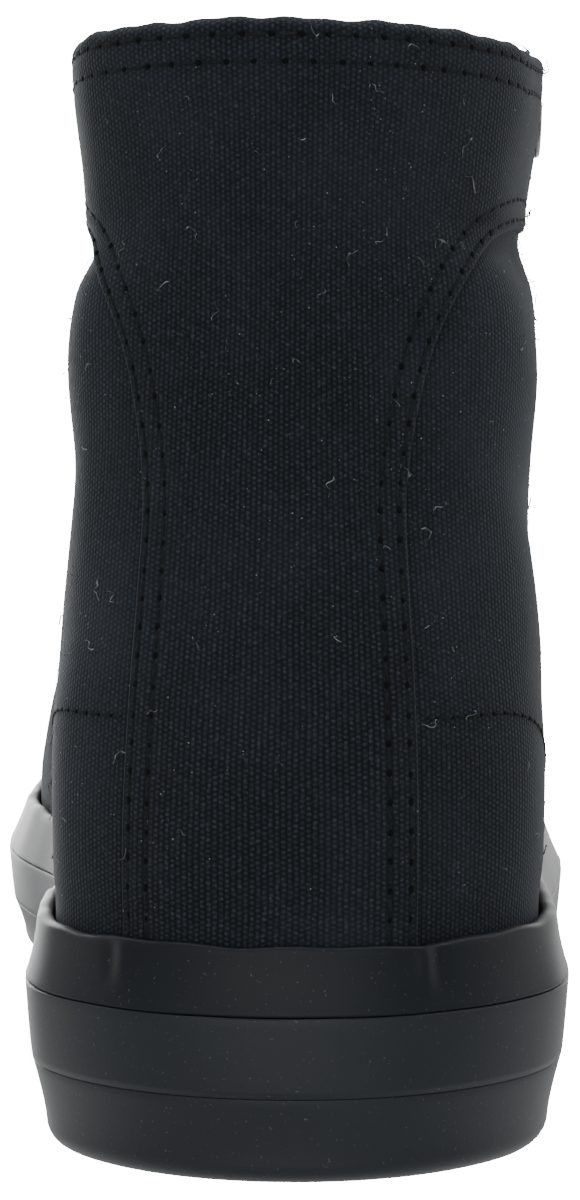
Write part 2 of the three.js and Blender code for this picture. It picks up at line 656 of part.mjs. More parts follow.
// Eyelets: turned rings clamped round holes of the eyestay.
const eyeletClimbs = Array.from({ length: eyeletPairs }, (_, i) =>
  2 + (cornerClimb - 12 - 2) * i / (eyeletPairs - 1));
function eyelet(climb, side) {
  const [u, v] = frontPlace(climb, track(climb, side).edge + eyeletInset, side);
  const at = onFacet(u, v), here = last(u, v);
  const along = last(u + 0.01, v).distanceTo(here) / 0.01;
  const up = last(u, v + 0.01).distanceTo(here) / 0.01;
  const round = (reach) => Array.from({ length: 16 }, (_, i) => {
    const a = i * Math.PI / 8;
    return onFacet(u + Math.cos(a) * reach / along, v + Math.sin(a) * reach / up);
  });
  const rim = round(eyeletOuter);
  const n = rim[0].clone().sub(rim[8]).cross(rim[4].clone().sub(rim[12])).normalize();
  const under = [...rim, ...round(eyeletHole), ...round((eyeletOuter + eyeletHole) / 2)];
  const base = Math.max(...under.map((p) => p.clone().sub(at).dot(n)), 0) + seat;
  const profile = [
    [eyeletHole, base], [eyeletOuter, base], [eyeletOuter - 0.5, base + 0.6],
    [eyeletHole + 0.4, base + 0.7], [eyeletHole, base + 0.4], [eyeletHole, base],
  ].map(([r, h]) => new THREE.Vector2(r, h));
  const ring = new THREE.LatheGeometry(profile, 12);
  ring.applyMatrix4(new THREE.Matrix4().makeRotationFromQuaternion(
    new THREE.Quaternion().setFromUnitVectors(new THREE.Vector3(0, 1, 0), n)));
  ring.translate(at.x, at.y, at.z);
  return ring;
}

// Laces: flat cords over the tongue, a bar at the bottom and joined crossings above it.
function cord(fromClimb, fromShare, toClimb, toShare, lift) {
  const steps = 8;
  const low = -upperWall - tongueSeat + seat + lift, high = low + laceThick;
  const rows = Array.from({ length: steps + 1 }, (_, i) => {
    const t = i / steps;
    const climb = fromClimb + (toClimb - fromClimb) * t;
    const share = fromShare + (toShare - fromShare) * t;
    const offset = share * (track(climb, share < 0 ? -1 : 1).edge - 6);
    return [[climb + laceWidth / 2, offset], [climb - laceWidth / 2, offset]];
  });
  const straight = fromShare > toShare ? rows.map((r) => [r[1], r[0]]) : rows;
  return frontStrip(straight, low, high).geometry();
}
const laceBar = () => cord(eyeletClimbs[0] - 1, -1, eyeletClimbs[0] - 1, 1, 0);
function laceCrossing(i) {
  const a = eyeletClimbs[i] + 7.5, b = eyeletClimbs[i + 1];
  return surface(solid(cord(a, -1, b, 1, 0.2)).add(solid(cord(a, 1, b, -1, 0.6))));
}

const canvas = new THREE.MeshStandardMaterial({ color: 0x1b2026, roughness: 0.95 });
const panelCanvas = new THREE.MeshStandardMaterial({ color: 0x171c22, roughness: 0.95 });
const rubber = new THREE.MeshStandardMaterial({ color: 0x24292e, roughness: 0.55 });
const lining = new THREE.MeshStandardMaterial({ color: 0x2b2f33, roughness: 1 });
const metal = new THREE.MeshStandardMaterial({ color: 0x6d7276, roughness: 0.35, metalness: 0.9 });
const cotton = new THREE.MeshStandardMaterial({ color: 0x15181c, roughness: 1 });

const shoe = new THREE.Group();
function addPart(name, geometry, material) {
  const mesh = new THREE.Mesh(geometry, material);
  mesh.name = name;
  shoe.add(mesh);
}
addPart('outsole', outsole(), rubber);
addPart('midsole', midsole(), rubber);
addPart('foxing_strip', foxingStrip(), rubber);
addPart('toe_bumper', toeBumper(), rubber);
addPart('toe_cap', toeCap(), rubber);
addPart('upper', upper(), canvas);
addPart('heel_panel', heelPanel(), panelCanvas);
addPart('tongue', tongue(), canvas);
addPart('insole', insole(), lining);
for (const [label, side] of [['lateral', 1], ['medial', -1]]) {
  eyeletClimbs.forEach((climb, i) => addPart(`eyelet_${label}_${i + 1}`, eyelet(climb, side), metal));
}
addPart('lace_bar', laceBar(), cotton);
for (let i = 0; i < eyeletPairs - 1; i++) addPart(`lace_crossing_${i + 1}`, laceCrossing(i), cotton);

export default shoe;
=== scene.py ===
from math import cos, pi, radians, sin

import bmesh
import bpy
import numpy as np
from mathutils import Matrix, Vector


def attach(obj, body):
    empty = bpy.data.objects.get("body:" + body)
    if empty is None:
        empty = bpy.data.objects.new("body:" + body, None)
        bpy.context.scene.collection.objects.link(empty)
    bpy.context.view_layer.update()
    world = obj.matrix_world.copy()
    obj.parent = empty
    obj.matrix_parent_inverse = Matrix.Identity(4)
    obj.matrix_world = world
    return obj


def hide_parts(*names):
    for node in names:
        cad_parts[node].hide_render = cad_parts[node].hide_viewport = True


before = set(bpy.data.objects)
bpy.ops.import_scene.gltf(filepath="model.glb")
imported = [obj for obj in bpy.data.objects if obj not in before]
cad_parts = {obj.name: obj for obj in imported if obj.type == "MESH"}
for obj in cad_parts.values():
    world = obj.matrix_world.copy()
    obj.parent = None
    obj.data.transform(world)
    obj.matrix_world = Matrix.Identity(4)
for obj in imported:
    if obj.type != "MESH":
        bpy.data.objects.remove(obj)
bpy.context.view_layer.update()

# Outsole
# One moulded plate of black rubber under the whole foot, with cross lugs under heel and forefoot.
# Its side is the lowest of the three bands, and it is cemented under the cup of the sole.
MM = 0.001
sole_length, heel_width, ball_width = 287.5, 76.4, 103.0
toe_spring = 9.0
heel_turn = radians(6.8)
outsole_top = (11.5, 8.6, 9.4)          # heel, ball, toe
spring_from = 165                       # the sole lifts forward of here
plan_rows = [                           # lateral x and y, medial x and y, forward of the heel
    (39.0, 22, -37.6, 30), (39.8, 50, -35.6, 57), (41.6, 78, -34.8, 83), (44.4, 105, -37.4, 108),
    (47.2, 130, -43.4, 132), (49.0, 153, -50.2, 154), (48.6, 175, -54.0, 175),
    (45.2, 197, -53.8, 197), (37.0, 218, -49.6, 218), (22.5, 236, -41.0, 235),
    (5.5, 247, -28.4, 246.5),
]
toe_tip = (-12, 250)
stations = 4 + len(plan_rows)           # half way round the shoe, at the toe
around = 2 * stations


def loop(lateral, medial):
    """Closed smooth curve round the shoe through values given heel to toe on either side."""
    values = np.array(list(lateral[:stations + 1]) + list(medial[1:stations])[::-1], float)
    control = values.copy()
    for _ in range(60):
        control = (6 * values - np.roll(control, 1) - np.roll(control, -1)) / 4

    def read(u, slope=False):
        i = np.floor(u).astype(int)
        t = u - i
        before, a, b, after = (control[(i + k) % around] for k in (-1, 0, 1, 2))
        if slope:
            return (-(1 - t) ** 2 * before + (3 * t * t - 4 * t) * a
                    + (-3 * t * t + 2 * t + 1) * b + t * t * after) / 2
        return ((1 - t) ** 3 * before + (3 * t ** 3 - 6 * t * t + 4) * a
                + (-3 * t ** 3 + 3 * t * t + 3 * t + 1) * b + t ** 3 * after) / 6
    return read


def heel_arc(side):
    return [(heel_width / 2 * sin(side * i * pi / 6 - heel_turn),
             -heel_width / 2 * cos(side * i * pi / 6 - heel_turn)) for i in range(4)]


lateral_line = heel_arc(1) + [(r[0], r[1]) for r in plan_rows] + [toe_tip]
medial_line = heel_arc(-1) + [(r[2], r[3]) for r in plan_rows] + [toe_tip]
plan_x = loop([p[0] for p in lateral_line], [p[0] for p in medial_line])
plan_y = loop([p[1] for p in lateral_line], [p[1] for p in medial_line])


def smooth(t):
    t = np.clip(t, 0, 1)
    return t * t * (3 - 2 * t)


def plan(u, inset=0.0):
    """Point on the sole's widest line, moved in, and its outward direction."""
    dx, dy = plan_x(u, True), plan_y(u, True)
    length = np.hypot(dx, dy)
    nx, ny = dy / length, -dx / length
    return plan_x(u) - nx * inset, plan_y(u) - ny * inset, nx, ny


def spring(y):
    """Lift of the sole towards the toe."""
    return toe_spring * np.clip((y - spring_from) / (toe_tip[1] - spring_from), 0, 1) ** 2


def level(band, y):
    """Height of a band's top edge from its heights at heel, ball and toe."""
    heel, ball, toe = band
    return heel + (ball - heel) * smooth(y / 150) + (toe - ball) * smooth((y - 190) / 60) + spring(y)


def quads(columns, rows, start=0, turned=False):
    """Faces of a grid of points that are numbered up each column in turn."""
    i, j = np.meshgrid(np.arange(columns - 1), np.arange(rows - 1), indexing="ij")
    a = start + i * rows + j
    faces = np.stack([a, a + rows, a + rows + 1, a + 1], -1).reshape(-1, 4)
    return faces[:, ::-1] if turned else faces


def piece(name, points, faces, cloth=None, part=None):
    """Welded, smooth-shaded mesh from points in millimetres, standing at the origin."""
    mesh = bpy.data.meshes.new(name)
    mesh.from_pydata((np.asarray(points).reshape(-1, 3) * MM).tolist(), [], np.asarray(faces).tolist())
    if cloth is not None:
        layer = mesh.uv_layers.new(name="cloth")
        corners = np.zeros(len(mesh.loops), np.int32)
        mesh.loops.foreach_get("vertex_index", corners)
        layer.data.foreach_set("uv", np.asarray(cloth, float).reshape(-1, 2)[corners].ravel())
    if part is not None:
        mesh.polygons.foreach_set("material_index", np.asarray(part, np.int32))
    shape = bmesh.new()
    shape.from_mesh(mesh)
    bmesh.ops.remove_doubles(shape, verts=shape.verts, dist=0.004 * MM)
    bmesh.ops.dissolve_degenerate(shape, edges=shape.edges, dist=0.002 * MM)
    shape.to_mesh(mesh)
    shape.free()
    mesh.polygons.foreach_set("use_smooth", np.ones(len(mesh.polygons), bool))
    mesh.update()
    made = bpy.data.objects.new(name, mesh)
    bpy.context.scene.collection.objects.link(made)
    return made


def mount(made, slot, finishes, *nodes):
    """Hangs a finished piece on the shoe's one body in place of the nodes that it stands for."""
    for finish in finishes:
        made.data.materials.append(finish)
    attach(made, "root")
    if nodes:
        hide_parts(*nodes)


def rim_line(step):
    """Stations all round the shoe with the closing one twice, so that the seam lies at the toe."""
    return np.arange(-stations, stations + step / 2, step)


def middle_line(u):
    """Line down the middle of the foot that the flat of a sole closes on."""
    middle_from, middle_length = -14, 236
    x = (plan_x(u) + plan_x(-u)) / 2
    y = (plan_y(u) + plan_y(-u)) / 2
    share = (y + heel_width / 2) / sole_length
    return x * smooth((y + 30) / 60) - 1.0, middle_from + middle_length * share


def moulded(name, u, profile, cap_low=None, cap_high=None):
    """Body whose side follows a profile of inset and height; its flats close on the middle line."""
    rows = profile(u)
    x, y, _, _ = plan(u[:, None], rows[..., 0])
    side = np.stack([x, y, rows[..., 1]], -1)
    middle = np.stack(middle_line(u), -1)
    parts = [side]
    for cap, edge, low in ((cap_low, side[:, :1], True), (cap_high, side[:, -1:], False)):
        if cap is None:
            continue
        shares = np.linspace(0, 1, cap["rows"] + 1)[1:, None]
        flat = edge[..., :2] * (1 - shares) + middle[:, None] * shares
        flat = np.concatenate([flat, cap["height"](flat[..., 0], flat[..., 1])[..., None]], -1)
        parts = [flat[:, ::-1], *parts] if low else [*parts, flat]
    grid = np.concatenate(parts, 1)
    return piece(name, grid, quads(*grid.shape[:2]))


class Wire:
    """A socket of a node tree, with the arithmetic that the finishes are written in."""

    def __init__(self, board, socket):
        self.board, self.socket = board, socket

    def maths(self, operation, *values):
        return self.board.node("ShaderNodeMath", {"operation": operation}, dict(enumerate(values)))

    def __add__(self, other):
        return self.maths("ADD", self, other)

    def __radd__(self, other):
        return self.maths("ADD", other, self)

    def __sub__(self, other):
        return self.maths("SUBTRACT", self, other)

    def __rsub__(self, other):
        return self.maths("SUBTRACT", other, self)

    def __mul__(self, other):
        return self.maths("MULTIPLY", self, other)

    def __rmul__(self, other):
        return self.maths("MULTIPLY", other, self)

    def __truediv__(self, other):
        return self.maths("DIVIDE", self, other)

    def __pow__(self, other):
        return self.maths("POWER", self, other)

    def __abs__(self):
        return self.maths("ABSOLUTE", self)

    def cos(self):
        return self.maths("COSINE", self)

    def between(self, low, high):
        """0 below low, 1 above high, smooth between them."""
        return self.board.node("ShaderNodeMapRange", {"interpolation_type": "SMOOTHSTEP"},
                               {"Value": self, "From Min": low, "From Max": high})

    def other(self, output):
        """Another output of the node that this one comes from."""
        return Wire(self.board, self.socket.node.outputs[output])


class Board:
    """A node tree and the one method that makes its nodes."""

    def __init__(self, tree):
        self.tree = tree

    def node(self, kind, settings=None, sockets=None, out=0):
        """New node of a type; settings come first, then its sockets' values or links."""
        made = self.tree.nodes.new(kind)
        for name, value in (settings or {}).items():
            setattr(made, name, value)
        for name, value in (sockets or {}).items():
            if isinstance(value, Wire):
                self.tree.links.new(value.socket, made.inputs[name])
            else:
                made.inputs[name].default_value = value
        return None if out is None else Wire(self, made.outputs[out])

    def place(self):
        return self.node("ShaderNodeTexCoord", out="Object")

    def noise(self, where, scale, detail=2.0, roughness=0.5):
        return self.node("ShaderNodeTexNoise", None, {
            "Vector": where, "Scale": scale, "Detail": detail, "Roughness": roughness}, "Fac")

    def mix(self, share, low, high):
        return self.node("ShaderNodeMix", {"data_type": "RGBA"}, {0: share, 6: low, 7: high}, 2)

    def bump(self, height, distance, strength=1.0):
        return self.node("ShaderNodeBump", None, {
            "Height": height, "Distance": distance, "Strength": strength})

    def vector(self, x, y, z):
        return self.node("ShaderNodeCombineXYZ", None, {0: x, 1: y, 2: z})


def finish(name):
    """New material with its board; what the board ends in is given to coat()."""
    made = bpy.data.materials.new(name)
    made.use_nodes = True
    made.node_tree.nodes.clear()
    return made, Board(made.node_tree)


def coat(board, **sockets):
    """The surface: one shader whose sockets are given by name, with _ for a space."""
    shader = board.node("ShaderNodeBsdfPrincipled", None,
                        {name.replace("_", " "): value for name, value in sockets.items()})
    board.node("ShaderNodeOutputMaterial", None, {"Surface": shader}, None)


def moulded_rubber(name, colour, dusty, shine=0.32):
    """Satin black rubber: soft mottling, rubbed patches and fine pale dust."""
    made, board = finish(name)
    where = board.place()
    patches = board.noise(where, 38, 3)
    grain = board.noise(where, 2600, 2)
    dust = board.noise(where, 2900, 1, 0.3).between(0.735, 0.775) * dusty
    dark = [c * 0.82 for c in colour] + [1]
    light = [c * 1.2 for c in colour] + [1]
    body = board.mix(patches.between(0.3, 0.7), dark, light)
    coat(board,
         Base_Color=board.mix(dust, body, (0.12, 0.125, 0.13, 1)),
         Roughness=0.44 + patches * 0.14 + grain * 0.06,
         Specular_IOR_Level=shine,
         Normal=board.bump(grain + patches * 2.0, 0.00004, 0.6))
    return made


sole_rubber = moulded_rubber("sole_rubber", (0.0062, 0.0090, 0.0126), 0.4)

tread_depth, groove_width, groove_round = 1.4, 3.2, 0.8
rib_height, rib_pitch = 0.35, 4.2
forefoot_from, forefoot_middle = 100, -4
grooves = [(-22, 0), (-8, 0), (6, 0), (20, 0), (116, -0.12), (134, -0.16), (152, -0.2),
           (170, -0.24), (188, -0.26), (206, -0.26)]        # y on the middle line, turn


def tread(x, y):
    """Height of the tread: cross grooves between lugs, and fine ribs on the lugs."""
    herringbone = (y + 0.35 * np.abs(x)) * 2 * pi / rib_pitch
    height = spring(y) + rib_height * (0.5 - 0.5 * np.cos(herringbone))
    for start, turn in grooves:
        middle = forefoot_middle if start > forefoot_from else 0
        off = (y - start) * cos(turn) - (x - middle) * sin(turn)
        cut = smooth((groove_width / 2 + groove_round / 2 - np.abs(off)) / groove_round)
        height = np.maximum(height, spring(y) + tread_depth * cut)
    return height


lower_round = 2.8
seam_fill = 0.24                        # cement in the seam above the plate


def outsole_side(u):
    """From the tread's edge, round the lower corner and up a side that swells outwards."""
    y = plan_y(u)
    foot, top = spring(y), level(outsole_top, y)
    turn = np.linspace(0, pi / 2, 8)
    rounding = [(3.0 + lower_round * (1 - np.sin(a)) + 0 * y, foot + lower_round * (1 - np.cos(a)))
                for a in turn]
    wall = [(3.0 - 1.9 * t ** 1.3 + 0 * y, foot + lower_round + (top - foot - lower_round) * t)
            for t in np.linspace(0, 1, 9)[1:]]
    lip = [(1.12 + 0 * y, top + seam_fill), (5.0 + 0 * y, top + seam_fill)]
    return np.stack([np.stack(p, -1) for p in rounding + wall + lip], 1)


outsole = moulded("outsole_rubber", rim_line(0.06), outsole_side,
                  cap_low={"rows": 34, "height": tread},
                  cap_high={"rows": 2, "height": lambda x, y: level(outsole_top, y) + seam_fill})
mount(outsole, "rubber", [sole_rubber], "outsole")

# Midsole and foxing
# The cup that the canvas stands in: a floor under the foot and the wall of the middle band,
# moulded in one with a rounded ledge along its top.
foxing_top = (22.5, 18.2, 20.2)         # heel, ball, toe
heel_margin, ball_margin = 4.4, 6.2     # canvas in from the sole's widest line
seat = 0.3                              # air between pieces that lie on each other
floor_thick = 2.2


def margin_at(y):
    return heel_margin + (ball_margin - heel_margin) * smooth((y - 95) / 65)


def foxing_side(u):
    """From under the cup out to the wall, up it, round the ledge and down inside to the floor."""
    y = plan_y(u)
    low, top, inside = level(outsole_top, y) + seat, level(foxing_top, y), margin_at(y) - seat
    wall = [(1.02 - 0.92 * t ** 0.8 + 0 * y, low + (top - 0.4 - low) * t) for t in np.linspace(0, 1, 12)]
    ledge = [(0.1 + 0.4 * (1 - cos(a)) + 0 * y, top - 0.4 + 0.4 * sin(a))
             for a in np.linspace(0, pi / 2, 6)[1:]]
    under = [(5.0 + 0 * y, low), (1.15 + 0 * y, low)]
    cup = [(inside, top), (inside, level(outsole_top, y) + seat + floor_thick)]
    return np.stack([np.stack(p, -1) for p in under + wall + ledge + cup], 1)


midsole = moulded("sole_cup", rim_line(0.06), foxing_side,
                  cap_low={"rows": 2, "height": lambda x, y: level(outsole_top, y) + seat},
                  cap_high={"rows": 3, "height": lambda x, y: level(outsole_top, y) + seat + floor_thick})
mount(midsole, "rubber", [sole_rubber], "midsole")

# Foxing tape
# A strip of thin rubber wrapped round the canvas above the cup and rolled down on it. Its top
# edge is a fine lip, and the ends of the heel strip under it show through as two upright creases.
tape_top = (31.5, 27.0, 29.5)           # heel, ball, toe
panel_strip = 20.5                      # half the heel strip's width


def walk(u):
    """Distance round the heel from its middle at the canvas's foot, medial side negative."""
    marks = np.arange(-stations, stations + 0.01, 0.02)
    x, y, _, _ = plan(marks, heel_margin)
    steps = np.concatenate([[0], np.cumsum(np.hypot(np.diff(x), np.diff(y)))])
    return np.interp(u, marks, steps - np.interp(0, marks, steps))


def station_at(distance):
    """Station round the shoe at a distance from the middle of the heel."""
    marks = np.arange(-stations, stations + 0.01, 0.02)
    return np.interp(distance, walk(marks), marks)


def tape_side(u):
    """From the ledge, up a side that is pressed in by hand, over the thin lip and down inside."""
    y, off = plan_y(u), np.abs(walk(u))
    low, inside = level(foxing_top, y) + 0.03, margin_at(y) - seat
    wave = 0.3 * np.sin(walk(u) * 0.19 + 1) * np.sin(walk(u) * 0.067) + 0.12 * np.sin(walk(u) * 0.53)
    top = level(tape_top, y) + wave
    at = panel_strip + np.where(walk(u) < 0, 0.0, 1.9)
    crease = 0.6 * np.exp(-((off - at) / 1.0) ** 2) - 0.6 * np.exp(-((off - at + 2.2) / 1.2) ** 2)
    over = 1 - smooth((off - panel_strip + 0.6) / 2.2)
    lip_out, lip_in = inside - 2.2 - 0.35 * over, inside - 1.3 * over - 0.1
    foot_wave = 0.08 * np.sin(walk(u) * 0.31) * np.sin(walk(u) * 0.11)
    rows = [(inside, low), (0.52 + foot_wave, low), (0.26 + foot_wave, low + 0.14),
            (0.2 + foot_wave, low + 0.42)]
    for t in np.linspace(0.1, 0.9, 12):
        lean = 0.2 + foot_wave * (1 - t) + (lip_out - 0.2) * t ** 1.3
        dent = 0.42 * sin(pi * t) + 0.5 * crease * smooth((t - 0.15) / 0.5)
        rows.append((lean + dent, low + (top - low) * t))
    middle = (lip_out + lip_in) / 2 + 0.2 * crease
    reach = (lip_in - lip_out) / 2
    for a in np.linspace(0.15, pi, 8):
        rows.append((middle - reach * cos(a), top - 0.55 + 0.55 * sin(a)))
    rows += [(lip_in, top - 3.2), (inside, top - 3.8), (inside, low)]
    return np.stack([np.stack(np.broadcast_arrays(*p), -1) for p in rows], 1)


tape_line = np.unique(np.round(np.concatenate([rim_line(0.1), np.arange(-3, 3, 0.025)]), 4))
# The tape's rubber is the sole's rubber painted darker: painted shade that offsets the top light falling on
# the tape as it leans in.
tape_rubber_painted_shade = moulded_rubber("tape_rubber_painted_shade", (0.0036, 0.0056, 0.0080), 0.4, 0.22)
tape = moulded("rolled_tape", tape_line, tape_side)
mount(tape, "rubber", [tape_rubber_painted_shade], "foxing_strip")

# Toe bumper
# A second strip of rubber round the toe, over the middle band, ribbed along its length
# against scuffs.
bumper_reach = 3.0                      # stations to either side of the toe
bumper_wall, bumper_ribs = 1.2, 6


def bumper_side(u):
    y = plan_y(u)
    low, high = level(outsole_top, y) - 2, level(foxing_top, y) - 1
    end = smooth((bumper_reach - np.abs(np.abs(u) - stations)) / 0.12)
    rows = []
    for t in np.linspace(0, 1, 40):
        rib = 0.18 * (0.5 + 0.5 * cos(2 * pi * t * bumper_ribs)) * smooth(t / 0.1) * smooth((1 - t) / 0.1)
        swell = bumper_wall * smooth(t / 0.08) * smooth((1 - t) / 0.08) + rib
        rows.append((-(0.1 + swell * end), low + (high - low) * t))
    rows += [(0.25 + 0 * y, high), (0.25 + 0 * y, low), rows[0]]
    return np.stack([np.stack(np.broadcast_arrays(*p), -1) for p in rows], 1)


bumper_rubber = moulded_rubber("bumper_rubber", (0.0070, 0.0088, 0.0110), 0.35)
bumper_line = np.arange(stations - bumper_reach, stations + bumper_reach + 0.001, 0.05)
bumper = moulded("bumper_strip", bumper_line, bumper_side)
mount(bumper, "rubber", [bumper_rubber], "toe_bumper")

# Insole
# A soft lined footbed that lies loose on the floor of the cup, dished a little under the heel.
insole_thick, insole_round, upper_wall = 4.0, 1.5, 1.9


def insole_low(x, y):
    return level(outsole_top, y) + 2 * seat + floor_thick


def insole_side(u):
    y = plan_y(u)
    low, edge = insole_low(0, y), margin_at(y) + upper_wall + seat
    rows = [(edge, low)]
    for a in np.linspace(0, pi / 2, 6):
        rows.append((edge + insole_round * (1 - cos(a)), low + insole_thick - insole_round * (1 - sin(a))))
    return np.stack([np.stack(np.broadcast_arrays(*p), -1) for p in rows], 1)


def footbed(x, y):
    """Top of the insole, with the hollows of heel and ball."""
    rest = insole_low(x, y) + insole_thick
    return rest - 0.8 * np.exp(-((x + 1) ** 2 + (y - 2) ** 2) / 500) - 0.5 * np.exp(-((y - 172) / 28) ** 2)


def woven(name, dark, light, pitch, sheen, depth=0.00009):
    """Plain weave in millimetres of the cloth map: ribs of round threads with painted shade in the gaps and
    painted highlights on the thread tops, and worn patches.
    """
    made, board = finish(name)
    cloth = board.node("ShaderNodeUVMap", {"uv_map": "cloth"})
    parts = board.node("ShaderNodeSeparateXYZ", None, {0: cloth})
    across, up = parts, parts.other(1)
    where = board.place()
    drift = board.noise(where, 60, 2) - 0.5
    shake = board.noise(where, 420, 2) - 0.5
    rib = ((across + drift * 0.7 + shake * 0.10) * (pi / pitch[0])).cos()
    pick = ((up + drift * 0.5 + shake * 0.16) * (2 * pi / pitch[1])).cos()
    thread = abs(rib) * 0.66 + rib * pick * 0.34
    slub = board.noise(where, 1300, 3, 0.6)
    patch = board.noise(where, 26, 4, 0.6)
    worn = patch.between(0.35, 0.75)
    # Thread tops are painted lighter and the gaps between threads darker: painted highlight and painted shade
    # of the weave's relief. glint adds fine painted highlights on the tops; slub is the yarn's own uneven
    # tone.
    glint = board.noise(where, 1900, 1, 0.4).between(0.56, 0.72)
    top = (thread * 0.62 + slub * 0.8 + glint * thread * 0.9).between(0.3, 1.5)
    body = board.mix(top, dark + (1,), light + (1,))
    faded = board.mix(worn * 0.28, body, tuple(c * 1.35 for c in light) + (1,))
    coat(board,
         Base_Color=faded,
         Roughness=0.88 + slub * 0.1,
         Specular_IOR_Level=0.15,
         Sheen_Weight=sheen, Sheen_Roughness=0.45, Sheen_Tint=(0.78, 0.88, 1.0, 1),
         Normal=board.bump(thread + slub * 0.9, depth))
    return made


lining_cloth = woven("lining_cloth", (0.010, 0.011, 0.013), (0.028, 0.030, 0.033), (0.5, 0.5), 0.12)
insole = moulded("footbed", rim_line(0.12), insole_side,
                 cap_low={"rows": 2, "height": insole_low},
                 cap_high={"rows": 24, "height": footbed})
flat_cloth = insole.data.uv_layers.new(name="cloth")
for corner in insole.data.loops:
    at = insole.data.vertices[corner.vertex_index].co
    flat_cloth.data[corner.index].uv = (at.x / MM, at.y / MM)
mount(insole, "lining", [lining_cloth], "insole")

# Upper
# Quarters and vamp of black canvas, stretched over the last and cemented down inside the cup.
# The cloth is lined, folded over at its cut edges, and softly creased at ankle, heel and ball.
top_rows = [   # y, z, x of the ridge, half width left open, arch, fullness, sweep, back and side bulge
    (-31.5, 157, -3.0, 0, 0, 1, 0, 1, 0), (-27.0, 157, -2.6, 14.8, 0, 1, 0, 0.75, 0.25),
    (-14.5, 158, -1.0, 26.4, 0, 1, 0, 0.25, 0.75), (4.0, 160, 1.2, 30.5, 0, 1, 0, 0, 1),
    (27.0, 163, 3.8, 31.2, 0.05, 1, 0, 0, 1), (50.0, 167, 6.4, 29.6, 0.2, 1, 0, 0, 0.9),
    (70.0, 170, 8.2, 23.5, 0.4, 1, 0, 0, 0.7), (82.0, 167, 9.0, 11.0, 0.65, 1, 0, 0, 0.45),
    (95.0, 144, 8.8, 2.5, 0.85, 1, 0, 0, 0.25), (114.5, 114, 7.2, 0.3, 0.97, 1, 0, 0, 0.1),
    (141.0, 84, 3.6, 0, 1, 0.98, 0, 0, 0), (170.0, 69, -1.6, 0, 1, 0.94, 0, 0, 0),
    (196.0, 58.5, -6.4, 0, 1, 0.88, 0.03, 0, 0), (213.0, 54, -9.4, 0, 1, 0.84, 0.45, 0, 0),
    (223.0, 53, -11.0, 0, 1, 0.82, 0.9, 0, 0), (226.0, 53, -11.4, 0, 1, 0.82, 1, 0, 0),
]
swell_rows = [(31.5, 0.3, 0.0), (50, 1.2, 0.4), (66, 0.9, -0.8), (88, -0.6, -2.8), (105, 0.1, -3.8),
              (117, -0.2, -4.0), (124, -2.3, -3.9), (131, -2.6, -3.2), (145, -0.6, -1.4), (157, 0.0, 0.0)]
collar_rows = [(-40, 152), (0, 150.5), (30, 152), (50, 155), (66, 158.5), (80, 160)]
opening_rows = [(-12, 0), (-11, 4.5), (-8, 9), (-3, 12), (10, 14.5), (40, 17.5), (70, 20), (90, 22.5),
                (104, 24), (115, 25)]
corner_round, corner_flare = 7.0, 5.6
flare_climb, flare_rise, flare_from, flare_run = 66, 24, 46, 36


def both(column):
    """Curve through one column of the table, the same on either side."""
    values = [row[column] for row in top_rows]
    return loop(values, values)


top_y, top_z, ridge_x = both(0), both(1), both(2)
top_x = loop([r[2] + r[3] for r in top_rows], [r[2] - r[3] for r in top_rows])
arch, fullness, sweep, back_share, side_share = (both(k) for k in range(4, 9))


def curve_through(rows, column):
    """Smooth curve through a table's rows by their first column."""
    x, y = (np.array([row[k] for row in rows], float) for k in (0, column))
    slope = np.concatenate([[(y[1] - y[0]) / (x[1] - x[0])], (y[2:] - y[:-2]) / (x[2:] - x[:-2]),
                            [(y[-1] - y[-2]) / (x[-1] - x[-2])]])

    def read(at):
        at = np.clip(at, x[0], x[-1])
        i = np.clip(np.searchsorted(x, at), 1, len(x) - 1)
        h = x[i] - x[i - 1]
        t = (at - x[i - 1]) / h
        return ((2 * t ** 3 - 3 * t * t + 1) * y[i - 1] + (t ** 3 - 2 * t * t + t) * h * slope[i - 1]
                + (3 * t * t - 2 * t ** 3) * y[i] + (t ** 3 - t * t) * h * slope[i])
    return read


swell_side, swell_back = curve_through(swell_rows, 1), curve_through(swell_rows, 2)
instep_foot = np.array([float(top_y(np.array(stations - 5.0))), float(top_z(np.array(stations - 5.0)))])
instep_head = np.array([float(top_y(np.array(7.0))), float(top_z(np.array(7.0)))])
instep_run = float(np.hypot(*(instep_head - instep_foot)))
up_y, up_z = (instep_head - instep_foot) / instep_run


def climb_of(y, z):
    """Distance up the straight line of the instep in side view."""
    return (y - instep_foot[0]) * up_y + (z - instep_foot[1]) * up_z


ridge_marks = np.arange(12, 7.1, -0.2)
ridge_climbs = climb_of(top_y(ridge_marks), top_z(ridge_marks))


def ridge_at(climb):
    return np.interp(climb, ridge_climbs, ridge_x(ridge_marks))


def opening_at(climb):
    """Half width of the lace opening; below the throat there is none."""
    rows = np.array(opening_rows, float)
    return np.where(climb < rows[0, 0], -1, np.interp(climb, rows[:, 0], rows[:, 1]))


